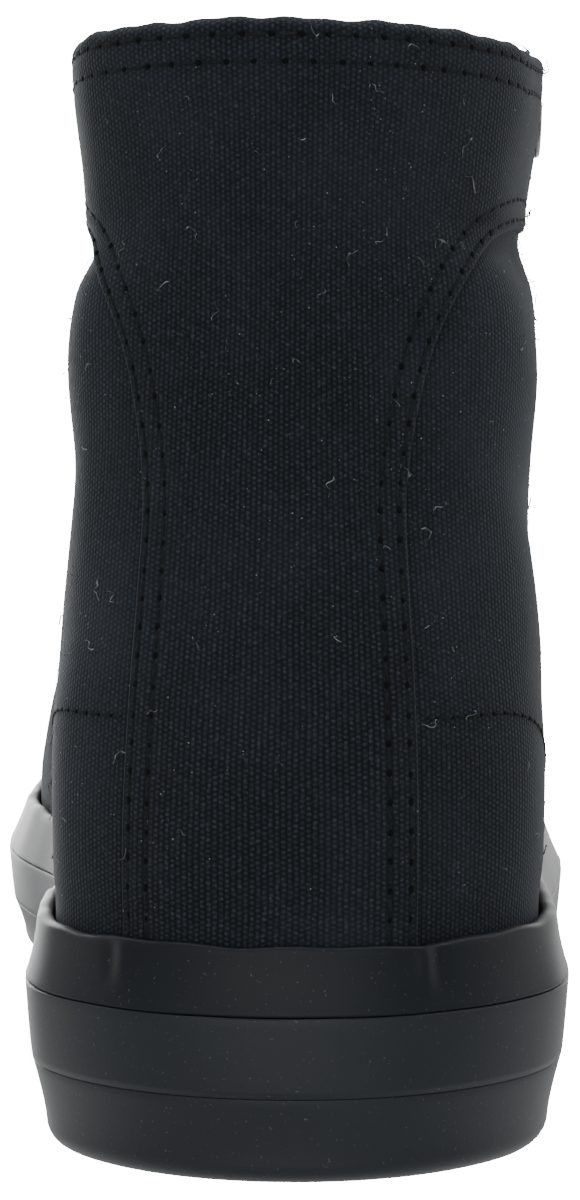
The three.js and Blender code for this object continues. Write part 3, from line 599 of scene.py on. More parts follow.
def last(u, v, flared=True):
    """Point of the last: u goes round the shoe, v up a rib from the tape; below 0 is in the cup."""
    u, v = np.broadcast_arrays(np.asarray(u, float), np.asarray(v, float))
    sole_y = plan_y(u)
    foot_x, foot_y, nx, ny = plan(u, margin_at(sole_y))
    low = level(tape_top, sole_y) - 1
    floor = level(outsole_top, sole_y) + 2 * seat + floor_thick
    a, k, s = np.clip(arch(u), 0, 1), fullness(u), np.clip(sweep(u), 0, 1)
    angle = pi / 2 * np.clip(v, 0, 1)
    rise = (1 - a) * v + a * np.sin(angle) ** k
    run = (1 - a) * v + a * (1 - np.abs(np.cos(angle)) ** k)
    z = low + (top_z(u) - low) * rise
    x = foot_x + (top_x(u) - foot_x) * run
    y = foot_y + (top_y(u) - foot_y) * ((1 - s) * rise + s * run)
    out = smooth((z - low) / 8) * (back_share(u) * swell_back(z) + side_share(u) * swell_side(z))
    x, y = x + nx * out, y + ny * out
    if flared:
        climb = climb_of(y, z)
        near_top = smooth((climb - flare_climb) / flare_rise) * smooth((y - flare_from) / flare_run)
        x = x + np.sign(x - ridge_at(climb)) * corner_flare * near_top
    under = v < 0
    return np.stack([np.where(under, foot_x, x), np.where(under, foot_y, y),
                     np.where(under, low + (low - floor) * v, z)], -1)


def last_normal(u, v, flared=True):
    """Outward direction of the last, level along the ridge and inside the cup."""
    u, v = np.broadcast_arrays(np.asarray(u, float), np.asarray(v, float))
    e, w = 1e-3, np.clip(v, 0, 0.985)

    def one_side(at):
        n = np.cross(last(at + e, w, flared) - last(at - e, w, flared),
                     last(at, w + e, flared) - last(at, w, flared))
        return n / np.linalg.norm(n, axis=-1, keepdims=True)
    n = one_side(u)
    n = np.where((v > 1 - 1e-6)[..., None], n + one_side(-u), n)
    _, _, nx, ny = plan(u)
    n = np.where((v < 0)[..., None], np.stack([nx, ny, 0 * nx], -1), n)
    return n / np.linalg.norm(n, axis=-1, keepdims=True)


# Creases of the canvas: two ends as distance round the heel and height, half width, depth.
creases = [
    (26, 127, 60, 121, 4.0, 0.9), (-26, 126, -60, 120, 4.0, 0.9), (30, 112, 70, 104, 6.0, -0.5),
    (-30, 113, -66, 104, 6.0, -0.5), (34, 96, 92, 78, 6.0, 0.6), (-34, 98, -88, 80, 6.0, 0.6),
    (-8, 102, 14, 90, 7.0, 0.35), (-16, 84, 10, 96, 7.0, -0.25), (28, 72, 64, 62, 7.0, 0.4),
    (-27, 74, -60, 64, 7.0, 0.4), (60, 60, 110, 52, 6.0, 0.5), (-60, 58, -108, 50, 6.0, 0.5),
    (150, 30, 176, 62, 4.5, 0.8), (-152, 30, -178, 62, 4.5, 0.8), (164, 30, 190, 58, 4.5, 0.7),
    (-166, 30, -192, 58, 4.5, 0.7), (6, 140, 26, 133, 6.0, 0.3), (-30, 141, -8, 136, 6.0, 0.3),
]


def ruffle(off, height):
    """Soft troughs and ridges of the worn cloth, along its normal."""
    rise = 0.12 * np.sin(off * 0.21 + height * 0.05) * np.sin(height * 0.13 - off * 0.04)
    for a, low, b, high, wide, deep in creases:
        run, climb = b - a, high - low
        length = run * run + climb * climb
        t = np.clip(((off - a) * run + (height - low) * climb) / length, 0, 1)
        gap = np.hypot(off - a - t * run, height - low - t * climb)
        rise = rise - deep * np.exp(-(gap / wide) ** 2) * (0.35 + 0.65 * np.sin(pi * t))
    return rise * smooth((height - 33) / 6)


def skin(u, v, out, flared=True):
    """Point off the last's surface, with the cloth's creases; both sides agree on the ridge."""
    u, v, out = np.broadcast_arrays(np.asarray(u, float), np.asarray(v, float), np.asarray(out, float))
    w = np.where(v > 1 - 1e-6, np.abs(u), u)
    p, n = last(w, v, flared), last_normal(w, v, flared)
    near_ridge = 1 - smooth((v - 0.9) / 0.1) * (np.abs(u) > 9)
    return p + n * (out + ruffle(walk(w), p[..., 2]) * near_ridge * (v >= 0))[..., None]


def edge_gaps(u, v):
    """Distances of a point of the last from the collar's edge and from the front's."""
    p = last(u, v, False)
    climb = climb_of(p[..., 1], p[..., 2])
    collar = np.interp(p[..., 1], *zip(*collar_rows)) - p[..., 2]
    front = np.abs(p[..., 0] - ridge_at(climb)) - opening_at(climb)
    return collar, front, p[..., 1], climb


def inside_edge(u, v):
    """Distance inside the cut edge of the upper; the corner of collar and front is round."""
    collar, front, y, _ = edge_gaps(u, v)
    front = np.where(y < 40, corner_round * 2, front)
    far = (collar > corner_round) | (front > corner_round)
    bend = corner_round - np.hypot(corner_round - collar, corner_round - front)
    return np.where(far, np.minimum(collar, front), bend)


def solve(low, high, is_low, like=0.0):
    """Halves a range towards the place where is_low stops being so, for many ranges at once."""
    a, b = low + 0 * like, high + 0 * like
    for _ in range(26):
        m = (a + b) / 2
        below = is_low(m)
        a, b = np.where(below, m, a), np.where(below, b, m)
    return (a + b) / 2


throat_u = float(solve(8.0, 12.0, lambda u: climb_of(top_y(u), top_z(u)) > opening_rows[0][0]))


def edge_v(u):
    """Place up each rib where the upper ends: at its cut edge, or on the ridge of the vamp."""
    u = np.asarray(u, float)
    found = solve(0.2, 1.0, lambda v: inside_edge(u, v) > 0, u)
    return np.where(np.abs(u) >= throat_u - 1e-6, 1.0, found)


def v_at_height(u, z):
    u, z = np.broadcast_arrays(np.asarray(u, float), np.asarray(z, float))
    return solve(0.0, 1.0, lambda v: last(u, v)[..., 2] < z, u)


def folded_wall(name, u, outer_rows, inner_rows, wall, sink):
    """Upper's wall: outside up to the cut edge, round over it, and down the lined inside."""
    edge = edge_v(u)
    span = np.linalg.norm(last(u, edge) - last(u, edge - 0.02), axis=-1) / 0.02
    is_open = edge < 1 - 1e-9
    stop = np.where(is_open, edge - (sink(u) + wall / 2) / span, 1.0)
    outer_v = np.concatenate([-np.ones((len(u), 1)), stop[:, None] * np.linspace(0, 1, outer_rows)], 1)
    inner_v = np.concatenate([stop[:, None] * np.linspace(1, 0, inner_rows), -np.ones((len(u), 1))], 1)
    outer = skin(u[:, None], outer_v, 0.0)
    inner = skin(u[:, None], inner_v, -wall)
    middle = (outer[:, -1] + inner[:, 0]) / 2
    normal = outer[:, -1] - inner[:, 0]
    along = np.gradient(middle, axis=0)
    ahead = np.cross(normal, along)
    ahead /= np.linalg.norm(ahead, axis=-1, keepdims=True)
    turns = np.linspace(0, pi, 7)[1:-1]
    roll = np.stack([middle + normal / 2 * cos(a) + ahead * wall / 2 * sin(a) for a in turns], 1)
    roll = np.where(is_open[:, None, None], roll, outer[:, -1:])
    grid = np.concatenate([outer, roll, inner, outer[:, :1]], 1)
    off = walk(u)[:, None] + 0 * grid[..., 2]
    front = smooth((np.abs(u)[:, None] - 9.6) / 0.01)
    reach = np.cumsum(np.linalg.norm(np.diff(grid, axis=1, prepend=grid[:, :1]), axis=-1), 1)
    girth = np.sign(u)[:, None] * (reach[:, outer_rows:outer_rows + 1] - reach)
    vamp = np.stack([girth, grid[..., 1]], -1)
    cloth = np.stack([off, grid[..., 2]], -1) * (1 - front[..., None]) + vamp * front[..., None]
    faces = quads(*grid.shape[:2])
    row = np.tile(np.arange(grid.shape[1] - 1), len(u) - 1)
    is_lining = row >= outer_rows + 4
    return piece(name, grid, faces, cloth, is_lining.astype(int))


canvas = woven("canvas", (0.0024, 0.0032, 0.0044), (0.0228, 0.0292, 0.0374), (0.8, 0.7), 0.04)
upper_line = np.unique(np.round(np.concatenate([
    rim_line(0.1), np.arange(-6, 6, 0.05),
    *(np.array([-1, 1])[:, None] * (throat_u - np.array([0, 0.03, 0.08, 0.16, 0.26])))]), 5))
upper = folded_wall("quarters_and_vamp", upper_line, 96, 40, upper_wall,
                    lambda u: 1.8 * (1 - smooth((np.abs(u) - 4.9) / 0.1)))
mount(upper, "canvas", [canvas, lining_cloth], "upper")

# Heel and ankle panel
# A T of the same canvas stitched over the quarters: a strip up the back of the heel that widens
# into the ankle piece and is folded over at the collar. Two rows of thread follow its edge.
panel_rows = [(20.5, 90.8), (22.5, 100), (25, 109), (29, 116), (34, 121), (42, 124.5), (55, 126),
              (110, 127.5)]             # lower edge: distance round the heel, height
panel_wall, panel_end = 1.1, 5.0
row_insets, collar_insets = (1.5, 4.4), (2.1, 5.6)
panel_front = float(walk(np.array(panel_end)))


def panel_edge():
    """Edge of the panel on one side: distance round the heel and height, from the sole up."""
    rows = np.array([(panel_strip, 28.0), *panel_rows], float)
    rows[-1] = (panel_front, np.interp(panel_front, rows[:, 0], rows[:, 1]))
    reach = np.concatenate([[0], np.cumsum(np.hypot(*np.diff(rows, axis=0).T))])
    marks = np.linspace(0, reach[-1], 190)
    blurred = [np.interp(marks, reach, rows[:, k]) for k in (0, 1)]
    for _ in range(60):
        for line in blurred:
            line[1:-1] = (line[:-2] + 2 * line[1:-1] + line[2:]) / 4
    return np.stack(blurred, -1)


edge_line = panel_edge()
folds = np.array([0, 0.12, 0.35, 0.7, 1.1, 1.5, 1.9, 2.6, 3.4, 4.0, 4.4, 4.8, 5.4])


def edge_distance(off, height):
    """Distance from the panel's stitched edge, measured on the cloth laid flat."""
    front_top = np.array([[panel_front, 150.0], [panel_front, 170.0]])
    line = np.concatenate([edge_line, front_top])
    best = np.full(np.shape(off), 1e9)
    for (a, low), (b, high) in zip(line[:-1], line[1:]):
        run, climb = b - a, high - low
        t = np.clip(((off - a) * run + (height - low) * climb) / (run * run + climb * climb), 0, 1)
        best = np.minimum(best, np.hypot(off - a - t * run, height - low - t * climb))
    return best


def collar_height(u):
    return last(u, edge_v(u))[..., 2]


def panel_offset(off, height, down):
    """Outside of the panel over the last: rounded edge, and shallow furrows under the thread."""
    gap = edge_distance(np.abs(off), height)
    body = 0.06 + (panel_wall + seat - 0.06) * np.sqrt(1 - (1 - np.clip(gap / 1.15, 0, 1)) ** 2)
    for inset in row_insets:
        body = body - 0.16 * np.exp(-((gap - inset) / 0.6) ** 2)
    for inset in collar_insets:
        body = body - 0.16 * np.exp(-((down - inset) / 0.65) ** 2)
    return body


shares = np.unique(np.concatenate([np.linspace(-1, 1, 131), 1 - folds / 24, folds / 24 - 1]))
low_rows = edge_line[:-1]
high_shares = np.concatenate([np.linspace(0, 0.86, 26), np.linspace(0.86, 1, 24)[1:]])
wide_z = edge_line[-1, 1]
columns = []
for share, top in zip(shares, collar_height(station_at(shares * panel_front))):
    off = np.concatenate([share * low_rows[:, 0], np.full(len(high_shares), share * panel_front)])
    u = station_at(off)
    height = np.concatenate([low_rows[:, 1], wide_z + (top - wide_z) * high_shares])
    columns.append(np.stack([off, height, u, np.full(len(off), top)], -1))
panel_grid = np.stack(columns)
off, height, u, top = (panel_grid[..., k] for k in range(4))
fold_radius = (upper_wall + panel_wall + seat) / 2
roll_start = top - fold_radius
drop = np.clip((height - wide_z) / (top - wide_z), 0, 1)
height = np.where(height > wide_z, wide_z + (roll_start - wide_z) * drop, height)
v = v_at_height(u, height)
outer = skin(u, v, panel_offset(off, height, top - height))
inner = skin(u, v, 0.04)
over_u, over_v = u[:, -1], v[:, -1]
core = skin(over_u, over_v, (panel_wall + seat - upper_wall) / 2)
normal = last_normal(over_u, over_v)
roll = np.stack([core + normal * fold_radius * cos(a) + np.array([0, 0, 1]) * fold_radius * sin(a)
                 for a in np.linspace(0, pi, 11)[1:]], 1)
facing_v = v_at_height(over_u[:, None], height[:, -1:] - np.linspace(1, 9, 6))
facing = skin(over_u[:, None], facing_v, -upper_wall - 0.35)
panel_points = np.concatenate([inner[:, ::-1], outer, roll, facing], 1)
fold_wave = 0.2 * np.sin(off[:, -1] * 0.37 + 1) * np.sin(off[:, -1] * 0.13) + 0.12 * np.sin(off[:, -1] * 0.9)
panel_points[..., 2] += fold_wave[:, None] * smooth((panel_points[..., 2] - 143) / 7)
flat_off = np.concatenate([off[:, ::-1], off, np.repeat(off[:, -1:], roll.shape[1] + facing.shape[1], 1)], 1)
beyond = np.concatenate([height[:, ::-1], height, height[:, -1:] + np.arange(1, roll.shape[1] + 1) * 0.5,
                         height[:, -1:] + 5 + np.arange(1, 7) * 1.8], 1)
panel_canvas = woven("panel_canvas", (0.0024, 0.0032, 0.0044), (0.0230, 0.0294, 0.0376), (0.8, 0.7), 0.04)
panel = piece("ankle_panel", panel_points, quads(*panel_points.shape[:2]), np.stack([flat_off, beyond], -1))
mount(panel, "panel_canvas", [panel_canvas], "heel_panel")

# Toe cap
# A thin rubber cap cemented over the toe of the vamp, its back edge rounded and bowed
# towards the laces.
cap_wall = 1.6
station_run = 21                        # length of a station at the cap's back edge
cap_u = bumper_line
cap_u = np.where(cap_u > stations, cap_u - around, cap_u)
cap_low = v_at_height(cap_u, level(tape_top, plan_y(cap_u)) + seat)
cap_v = cap_low[:, None] + (1 - cap_low[:, None]) * np.linspace(0, 1, 60)
from_back = (bumper_reach - np.abs(np.abs(cap_u) - stations))[:, None] * station_run
rounded = np.sqrt(1 - (1 - np.clip(from_back / cap_wall, 0, 1)) ** 2) + 0 * cap_v
cap_out = skin(cap_u[:, None], cap_v, seat + cap_wall * rounded)
cap_in = skin(cap_u[:, None], cap_v, seat * 0.5)
cap_points = np.concatenate([cap_in[:, ::-1], cap_out], 1)
cap_rubber = moulded_rubber("cap_rubber", (0.0074, 0.0092, 0.0114), 0.3)
toe_cap = piece("rubber_cap", cap_points, quads(*cap_points.shape[:2]))
mount(toe_cap, "rubber", [cap_rubber], "toe_cap")

# Tongue
# A padded strip of canvas under the lacing, sewn in below the throat and bound at its top,
# swollen between its two rows of stitches.
tongue_wall, tongue_seat, tongue_under, tongue_short = 3.0, 0.5, 10.0, 7.0
tongue_from, tongue_seam = -18.0, 0.84
head_climb = 0.92 * instep_run


def v_at_climb(u, climb):
    """Place up a rib at a distance up the instep."""
    def low(v):
        p = last(u, v, False)
        return climb_of(p[..., 1], p[..., 2]) < climb
    return solve(0.0, 1.0, low, np.asarray(u, float) + 0 * climb)


# Lines of equal climb walked back from the ridge on either side, as tables of places.
track_step = 1.5
track_reach = 50                        # widest place that is kept, from the ridge
track_climbs = np.arange(tongue_from, head_climb + track_step, track_step)
track_places, track_edges = {}, {}
for side in (-1, 1):
    start = solve(5.0, stations - 2.0, lambda w: climb_of(top_y(w), top_z(w)) > track_climbs, track_climbs)
    u_track = side * (start[:, None] - 0.06 * np.arange(60))
    v_track = v_at_climb(u_track, track_climbs[:, None])
    v_track[:, 0] = 1.0
    p = last(u_track, v_track, False)
    beside = np.abs(p[..., 0] - ridge_at(track_climbs)[:, None])
    steps = np.cumsum(np.linalg.norm(np.diff(p, axis=1), axis=-1), 1)
    walked = beside[:, :1] + np.pad(steps, ((0, 0), (1, 0)))
    outside = beside >= opening_at(track_climbs)[:, None]
    first_out = np.argmax(outside[:, 1:], 1) + 1
    track_edges[side] = walked[np.arange(len(walked)), first_out]
    offsets = np.arange(0, float(track_reach))
    u = side * np.stack([np.interp(offsets, w, side * t) for w, t in zip(walked, u_track)])
    near = offsets[None] < walked[:, :1]
    v = np.where(near, 1.0, v_at_climb(u, track_climbs[:, None]))
    plain, flared = last(u, v, False), last(u, v, True)
    middle = ridge_at(track_climbs)[:, None] + side * offsets[None]
    for places in (plain, flared):
        places[..., 0] = np.where(near, middle, places[..., 0])
    track_places[side] = {False: plain, True: flared, "out": last_normal(u, v, False), "u": u, "v": v}


def track_edge(climb, side):
    """Distance from the ridge to the eyestay's cut edge, over the last."""
    return float(np.interp(climb, track_climbs, track_edges[side]))


def off_track(table, climb, offset):
    """Value of a table of places, by distance up the instep and to the side."""
    i = np.clip((climb - track_climbs[0]) / track_step, 0, len(track_climbs) - 1.001)
    j = np.clip(offset, 0, track_reach - 1.01)
    row, column = int(i), j.astype(int)
    s, t = i - row, (j - column)
    t = t[:, None] if table.ndim == 3 else t
    low = table[row, column] * (1 - t) + table[row, column + 1] * t
    high = table[row + 1, column] * (1 - t) + table[row + 1, column + 1] * t
    return low * (1 - s) + high * s


def front_points(climb, offsets, outs, flared=False):
    """Points on the front of the foot at one climb, by distance to either side of the ridge."""
    level_climb = min(max(climb, track_climbs[0]), head_climb)
    offsets, outs = np.broadcast_arrays(np.asarray(offsets, float), np.asarray(outs, float))
    found = np.zeros(offsets.shape + (3,))
    for side in (-1, 1):
        mine = (offsets < 0) == (side < 0)
        off = np.abs(offsets[mine])
        places = off_track(track_places[side][flared], level_climb, off)
        found[mine] = places + off_track(track_places[side]["out"], level_climb, off) * outs[mine][:, None]
    return found + np.array([0, up_y, up_z]) * max(0.0, climb - head_climb)


def corner_at():
    """Distance up the instep of the corner between collar and front."""
    def nearer_collar(u):
        collar, front, _, _ = edge_gaps(u, edge_v(u))
        return collar < front
    u = solve(4.0, 9.0, nearer_collar)
    return float(edge_gaps(u, edge_v(u))[3])


def tongue_reach(climb, side):
    """Half width of the tongue, to one side."""
    return track_edge(min(max(climb, 0.0), head_climb), side) + tongue_under


corner_climb = corner_at()
tongue_depth = -upper_wall - tongue_seat
tongue_rows, tongue_cells = 64, 41
tongue_climbs = np.linspace(tongue_from, corner_climb - tongue_short, tongue_rows)
tongue_points, tongue_cloth = [], []
across = np.linspace(-1, 1, tongue_cells)
for layer, sign in ((0.0, 1), (-tongue_wall, -1)):
    for i, climb in enumerate(tongue_climbs):
        t = i / (tongue_rows - 1)
        narrow = 1 - 0.14 * smooth((t - 0.93) / 0.07)
        medial, lateral = (tongue_reach(climb, side) for side in (-1, 1))
        reach = across * np.where(across < 0, medial, lateral) * narrow
        edge = np.minimum(1 - np.abs(across), (1 - t) * 4.0 + 0.001)
        pinch = tongue_wall / 2 * (1 - np.sqrt(1 - (1 - np.minimum(1.0, edge / 0.08)) ** 2))
        seam = (0.45 * np.exp(-((np.abs(across) - tongue_seam) / 0.03) ** 2)
                + 0.45 * np.exp(-((t - 0.955) / 0.010) ** 2))
        tongue_points.append(front_points(climb, reach, tongue_depth + layer - sign * (pinch + seam)))
        tongue_cloth.append(np.stack([reach, climb + 0 * reach], -1))
tongue_points = np.array(tongue_points).reshape(2, tongue_rows, tongue_cells, 3)
front_side, back_side = tongue_points[0].transpose(1, 0, 2), tongue_points[1].transpose(1, 0, 2)
shell = np.concatenate([front_side, back_side[:, ::-1], front_side[:, :1]], 1)
cloth = np.array(tongue_cloth).reshape(2, tongue_rows, tongue_cells, 2)
cloth = np.concatenate([cloth[0].transpose(1, 0, 2), cloth[1].transpose(1, 0, 2)[:, ::-1],
                        cloth[0].transpose(1, 0, 2)[:, :1]], 1)
faces = [quads(*shell.shape[:2])]
ring = shell.shape[1]
last_ring = (tongue_cells - 1) * ring
for i in range(tongue_rows - 1):
    j = ring - 2 - i
    faces.append(np.array([[i, i + 1, j - 1, j]]))
    faces.append(np.array([[last_ring + i + 1, last_ring + i, last_ring + j, last_ring + j - 1]]))
tongue = piece("padded_tongue", shell, np.concatenate(faces), cloth)
mount(tongue, "canvas", [canvas], "tongue")

# Eyelets
# Six pairs of rolled metal rings in a dark gunmetal finish, clamped through both layers of the
# eyestay, dished towards the hole and polished by the lace.
eyelet_pairs, eyelet_inset = 6, 9.5
eyelet_outer, eyelet_hole = 4.6, 2.5
eyelet_climbs = [2 + (corner_climb - 14) * i / (eyelet_pairs - 1) for i in range(eyelet_pairs)]


def gunmetal():
    """Dark plated metal, rubbed bright in patches."""
    made, board = finish("gunmetal")
    where = board.place()
    rub = board.noise(where, 700, 3)
    coat(board, Base_Color=board.mix(rub.between(0.35, 0.7), (0.16, 0.17, 0.18, 1), (0.34, 0.35, 0.36, 1)),
         Metallic=1.0, Roughness=0.2 + rub * 0.22, Normal=board.bump(rub, 0.00003, 0.5))
    return made


def turned_ring(centre, normal, side_way):
    """Rolled section swept round the hole: flange, crown and the barrel through the cloth."""
    section = [(eyelet_outer, 0.05), (eyelet_outer + 0.05, 0.3)]
    crown = (eyelet_outer + eyelet_hole) / 2 + 0.35
    section += [(crown + 0.75 * cos(a), 0.35 + 0.62 * sin(a)) for a in np.linspace(0, pi, 9)]
    section += [(eyelet_hole + 0.25, 0.1), (eyelet_hole, -0.5), (eyelet_hole, -upper_wall - 0.3),
                (eyelet_hole + 1.3, -upper_wall - 0.55), (eyelet_hole + 1.3, -upper_wall - 0.2),
                (eyelet_hole + 0.35, -upper_wall + 0.1), (eyelet_hole + 0.35, -0.1)]
    across = np.cross(normal, side_way)
    points = []
    for k in range(33):
        a = 2 * pi * k / 32
        way = side_way * cos(a) + across * sin(a)
        points.append([centre + way * r + normal * h for r, h in section + section[:1]])
    return np.array(points)


eyelet_metal = gunmetal()
eyelet_centres = []
for label, side in (("lateral", 1), ("medial", -1)):
    for i, climb in enumerate(eyelet_climbs):
        reach = np.array([track_edge(climb, side) + eyelet_inset])
        u, v = (float(off_track(track_places[side][key], climb, reach)[0]) for key in ("u", "v"))
        ring_u, ring_v = np.array([u - 0.1, u + 0.1, u, u]), np.array([v, v, v - 0.03, v + 0.03])
        rim = skin(ring_u, ring_v, 0.0)
        normal = np.cross(rim[1] - rim[0], rim[3] - rim[2])
        normal /= np.linalg.norm(normal)
        centre = skin(u, v, 0.0)
        side_way = np.cross(normal, np.array([0.0, up_y, up_z]))
        side_way /= np.linalg.norm(side_way)
        ring = turned_ring(centre + normal * 0.25, normal, side_way)
        made = piece(f"ring_{label}_{i + 1}", ring, quads(*ring.shape[:2], turned=True))
        mount(made, "eyelet_metal", [eyelet_metal], f"eyelet_{label}_{i + 1}")
        eyelet_centres.append(centre)

# Lace
# One flat woven cotton lace: a straight bar goes in at the lowest eyelets, crosses up from pair
# to pair, out of each eyelet and under the next, and is tucked in beneath the top pair.
lace_width, lace_thick = 7.0, 1.3


def crossing(i, side, lift):
    """From eyelet i to the next one on the other side, as climb, distance to the side and depth."""
    start = track_edge(eyelet_climbs[i], side)
    end = track_edge(eyelet_climbs[i + 1], -side)
    inset = eyelet_inset
    if i == 0:
        lead = [(start + inset, -2.4), (start + inset - 3, -2.5), (start + 2, -2.3), (start - 4, -1.75)]
    else:
        lead = [(start + inset, -1.2), (start + inset - 0.8, 0.9), (start + inset - 3.2, 1.25),
                (start + 2.5, 1.05), (start - 0.5, 0.8), (start - 5, -0.9), (start - 9, -1.5)]
    tail = [(-(end - 9), -1.6), (-(end - 4), -1.75), (-(end + 2), -2.35), (-(end + inset - 3), -2.5),
            (-(end + inset - 0.6), -2.2)]
    rows = [*lead, (0, -1.55 + lift), *tail]
    total = start + inset + end + inset
    rise = eyelet_climbs[i + 1] - eyelet_climbs[i]
    return [(eyelet_climbs[i] + rise * (start + inset - off) / total, side * off, out) for off, out in rows]


def strand(side):
    """All crossings of one end of the lace, up to where it is tucked in."""
    rows = []
    for i in range(eyelet_pairs - 1):
        rows += crossing(i, side, 0.7 * side * (-1) ** i)
        side = -side
    end = track_edge(eyelet_climbs[-1], side) + eyelet_inset
    return rows + [(eyelet_climbs[-1] + 1, side * (end + 4), -2.7)]


def bar():
    """Straight across from one lowest eyelet to the other, over the tongue."""
    reach = [track_edge(eyelet_climbs[0], side) for side in (1, -1)]
    half = [[(r + eyelet_inset, -1.2), (r + eyelet_inset - 0.8, 0.9), (r + eyelet_inset - 3, 1.2),
             (r + 2, 1.0), (r - 0.5, 0.8), (r - 5, -0.6)] for r in reach]
    rows = [(off, out) for off, out in half[0]] + [(0, -1.4)]
    rows += [(-off, out) for off, out in half[1]][::-1]
    return [(eyelet_climbs[0], off, out) for off, out in rows]


def lace_path(rows):
    """Smooth path in space, with the way up the instep and the outward direction along it."""
    points, ups, outs = [], [], []
    for climb, off, out in rows:
        side = -1 if off < 0 else 1
        here = front_points(climb, [off, off, off + 0.5], [out, out + 1, out], abs(off) > 15)
        above = front_points(climb + 0.5, [off], [out], abs(off) > 15)
        points.append(here[0])
        outs.append(here[1] - here[0])
        ups.append((above[0] - here[0]) / 0.5)
    points, ups, outs = (np.array(k) for k in (points, ups, outs))
    reach = np.concatenate([[0], np.cumsum(np.linalg.norm(np.diff(points, axis=0), axis=-1))])
    fine = np.arange(0, reach[-1], 0.7)
    points, ups, outs = (np.stack([np.interp(fine, reach, k[:, j]) for j in range(3)], -1)
                         for k in (points, ups, outs))
    for _ in range(5):
        points[1:-1] = (points[:-2] + 2 * points[1:-1] + points[2:]) / 4
    return points, ups, outs


lace_rows = strand(1)[::-1] + bar() + strand(-1)
path, ups, outs = lace_path(lace_rows)
along = np.gradient(path, axis=0)
along /= np.linalg.norm(along, axis=-1, keepdims=True)
flat = along - outs * np.sum(along * outs, -1, keepdims=True)
across = np.cross(outs, flat)
across *= np.sign(np.sum(across * ups, -1, keepdims=True) + 1e-9)
for _ in range(14):
    across[1:-1] = (across[:-2] + 2 * across[1:-1] + across[2:]) / 4
across -= along * np.sum(across * along, -1, keepdims=True)
across /= np.linalg.norm(across, axis=-1, keepdims=True)
face = np.cross(along, across)
near_hole = np.linalg.norm(path[:, None] - np.array(eyelet_centres)[None], axis=-1).min(1)
bunch = np.exp(-(near_hole / 3.2) ** 2)
half_width = lace_width / 2 * (1 - 0.42 * bunch)
half_thick = lace_thick / 2 * (1 + 0.35 * bunch)
lace_sides = 21
turns = np.linspace(0, 2 * pi, lace_sides)
oval = [(np.sign(cos(a)) * abs(cos(a)) ** 0.6, np.sign(sin(a)) * abs(sin(a)) ** 0.8) for a in turns]
lace_grid = np.stack([path + across * (half_width * c)[:, None] + face * (half_thick * s)[:, None]
                      for c, s in oval], 1)
lace_reach = np.concatenate([[0], np.cumsum(np.linalg.norm(np.diff(path, axis=0), axis=-1))])
lace_cloth = np.stack(np.broadcast_arrays(np.linspace(0, 2 * lace_width, lace_sides)[None, :],
                                          lace_reach[:, None]), -1)
lace_cotton = woven("lace_cotton", (0.0022, 0.0026, 0.0032), (0.016, 0.018, 0.021), (0.9, 1.1), 0.3, 0.00016)
lace = piece("lace", lace_grid, quads(*lace_grid.shape[:2], turned=True), lace_cloth)
closed = bmesh.new()
closed.from_mesh(lace.data)
bmesh.ops.holes_fill(closed, edges=[e for e in closed.edges if e.is_boundary], sides=60)
bmesh.ops.recalc_face_normals(closed, faces=closed.faces)
closed.to_mesh(lace.data)
closed.free()
mount(lace, "lace_cotton", [lace_cotton], "lace_bar", *[f"lace_crossing_{i}" for i in range(1, eyelet_pairs)])

# Stitching
# Black waxed thread, about four millimetres to the stitch: two rows along every edge of the
# heel panel and the collar, one finer row where the heel's inner stiffener is caught.
stitch_pitch, stitch_length, thread_width, hole_share = 3.8, 3.1, 0.62, 1.4


def row_of_stitches(points, outs, pitch):
    """Even steps along a path on the cloth: places, directions along it and outward."""
    reach = np.concatenate([[0], np.cumsum(np.linalg.norm(np.diff(points, axis=0), axis=-1))])
    count = max(2, int(reach[-1] / pitch))
    marks = (np.arange(count) + 0.5) * reach[-1] / count

    def at(marks, lines):
        return np.stack([np.interp(marks, reach, lines[:, k]) for k in range(3)], -1)
    ahead = at(marks + 0.3 * pitch, points) - at(marks - 0.3 * pitch, points)
    return at(marks, points), ahead / np.linalg.norm(ahead, axis=-1, keepdims=True), at(marks, outs)


def tree_with(name, sizes):
    """Geometry tree with sizes for inputs: its board, the geometry, the sizes, their identifiers."""
    tree = bpy.data.node_groups.new(name, "GeometryNodeTree")
    face = tree.interface
    face.new_socket("Geometry", in_out="INPUT", socket_type="NodeSocketGeometry")
    sockets = {}
    for label, value in sizes.items():
        socket = face.new_socket(label, in_out="INPUT", socket_type="NodeSocketFloat")
        socket.default_value = value
        sockets[label] = socket.identifier
    face.new_socket("Geometry", in_out="OUTPUT", socket_type="NodeSocketGeometry")
    board = Board(tree)
    given = board.node("NodeGroupInput")
    return board, given, {label: given.other(label) for label in sizes}, sockets


def grown(ground, name, tree, sockets, sizes):
    """What a tree makes of an object, as a plain mesh in its place."""
    modifier = ground.modifiers.new(name, "NODES")
    modifier.node_group = tree
    for label, value in sizes.items():
        modifier[sockets[label]] = value
    graph = bpy.context.evaluated_depsgraph_get()
    made = bpy.data.objects.new(name, bpy.data.meshes.new_from_object(ground.evaluated_get(graph)))
    bpy.context.scene.collection.objects.link(made)
    bpy.data.objects.remove(ground)
    return made


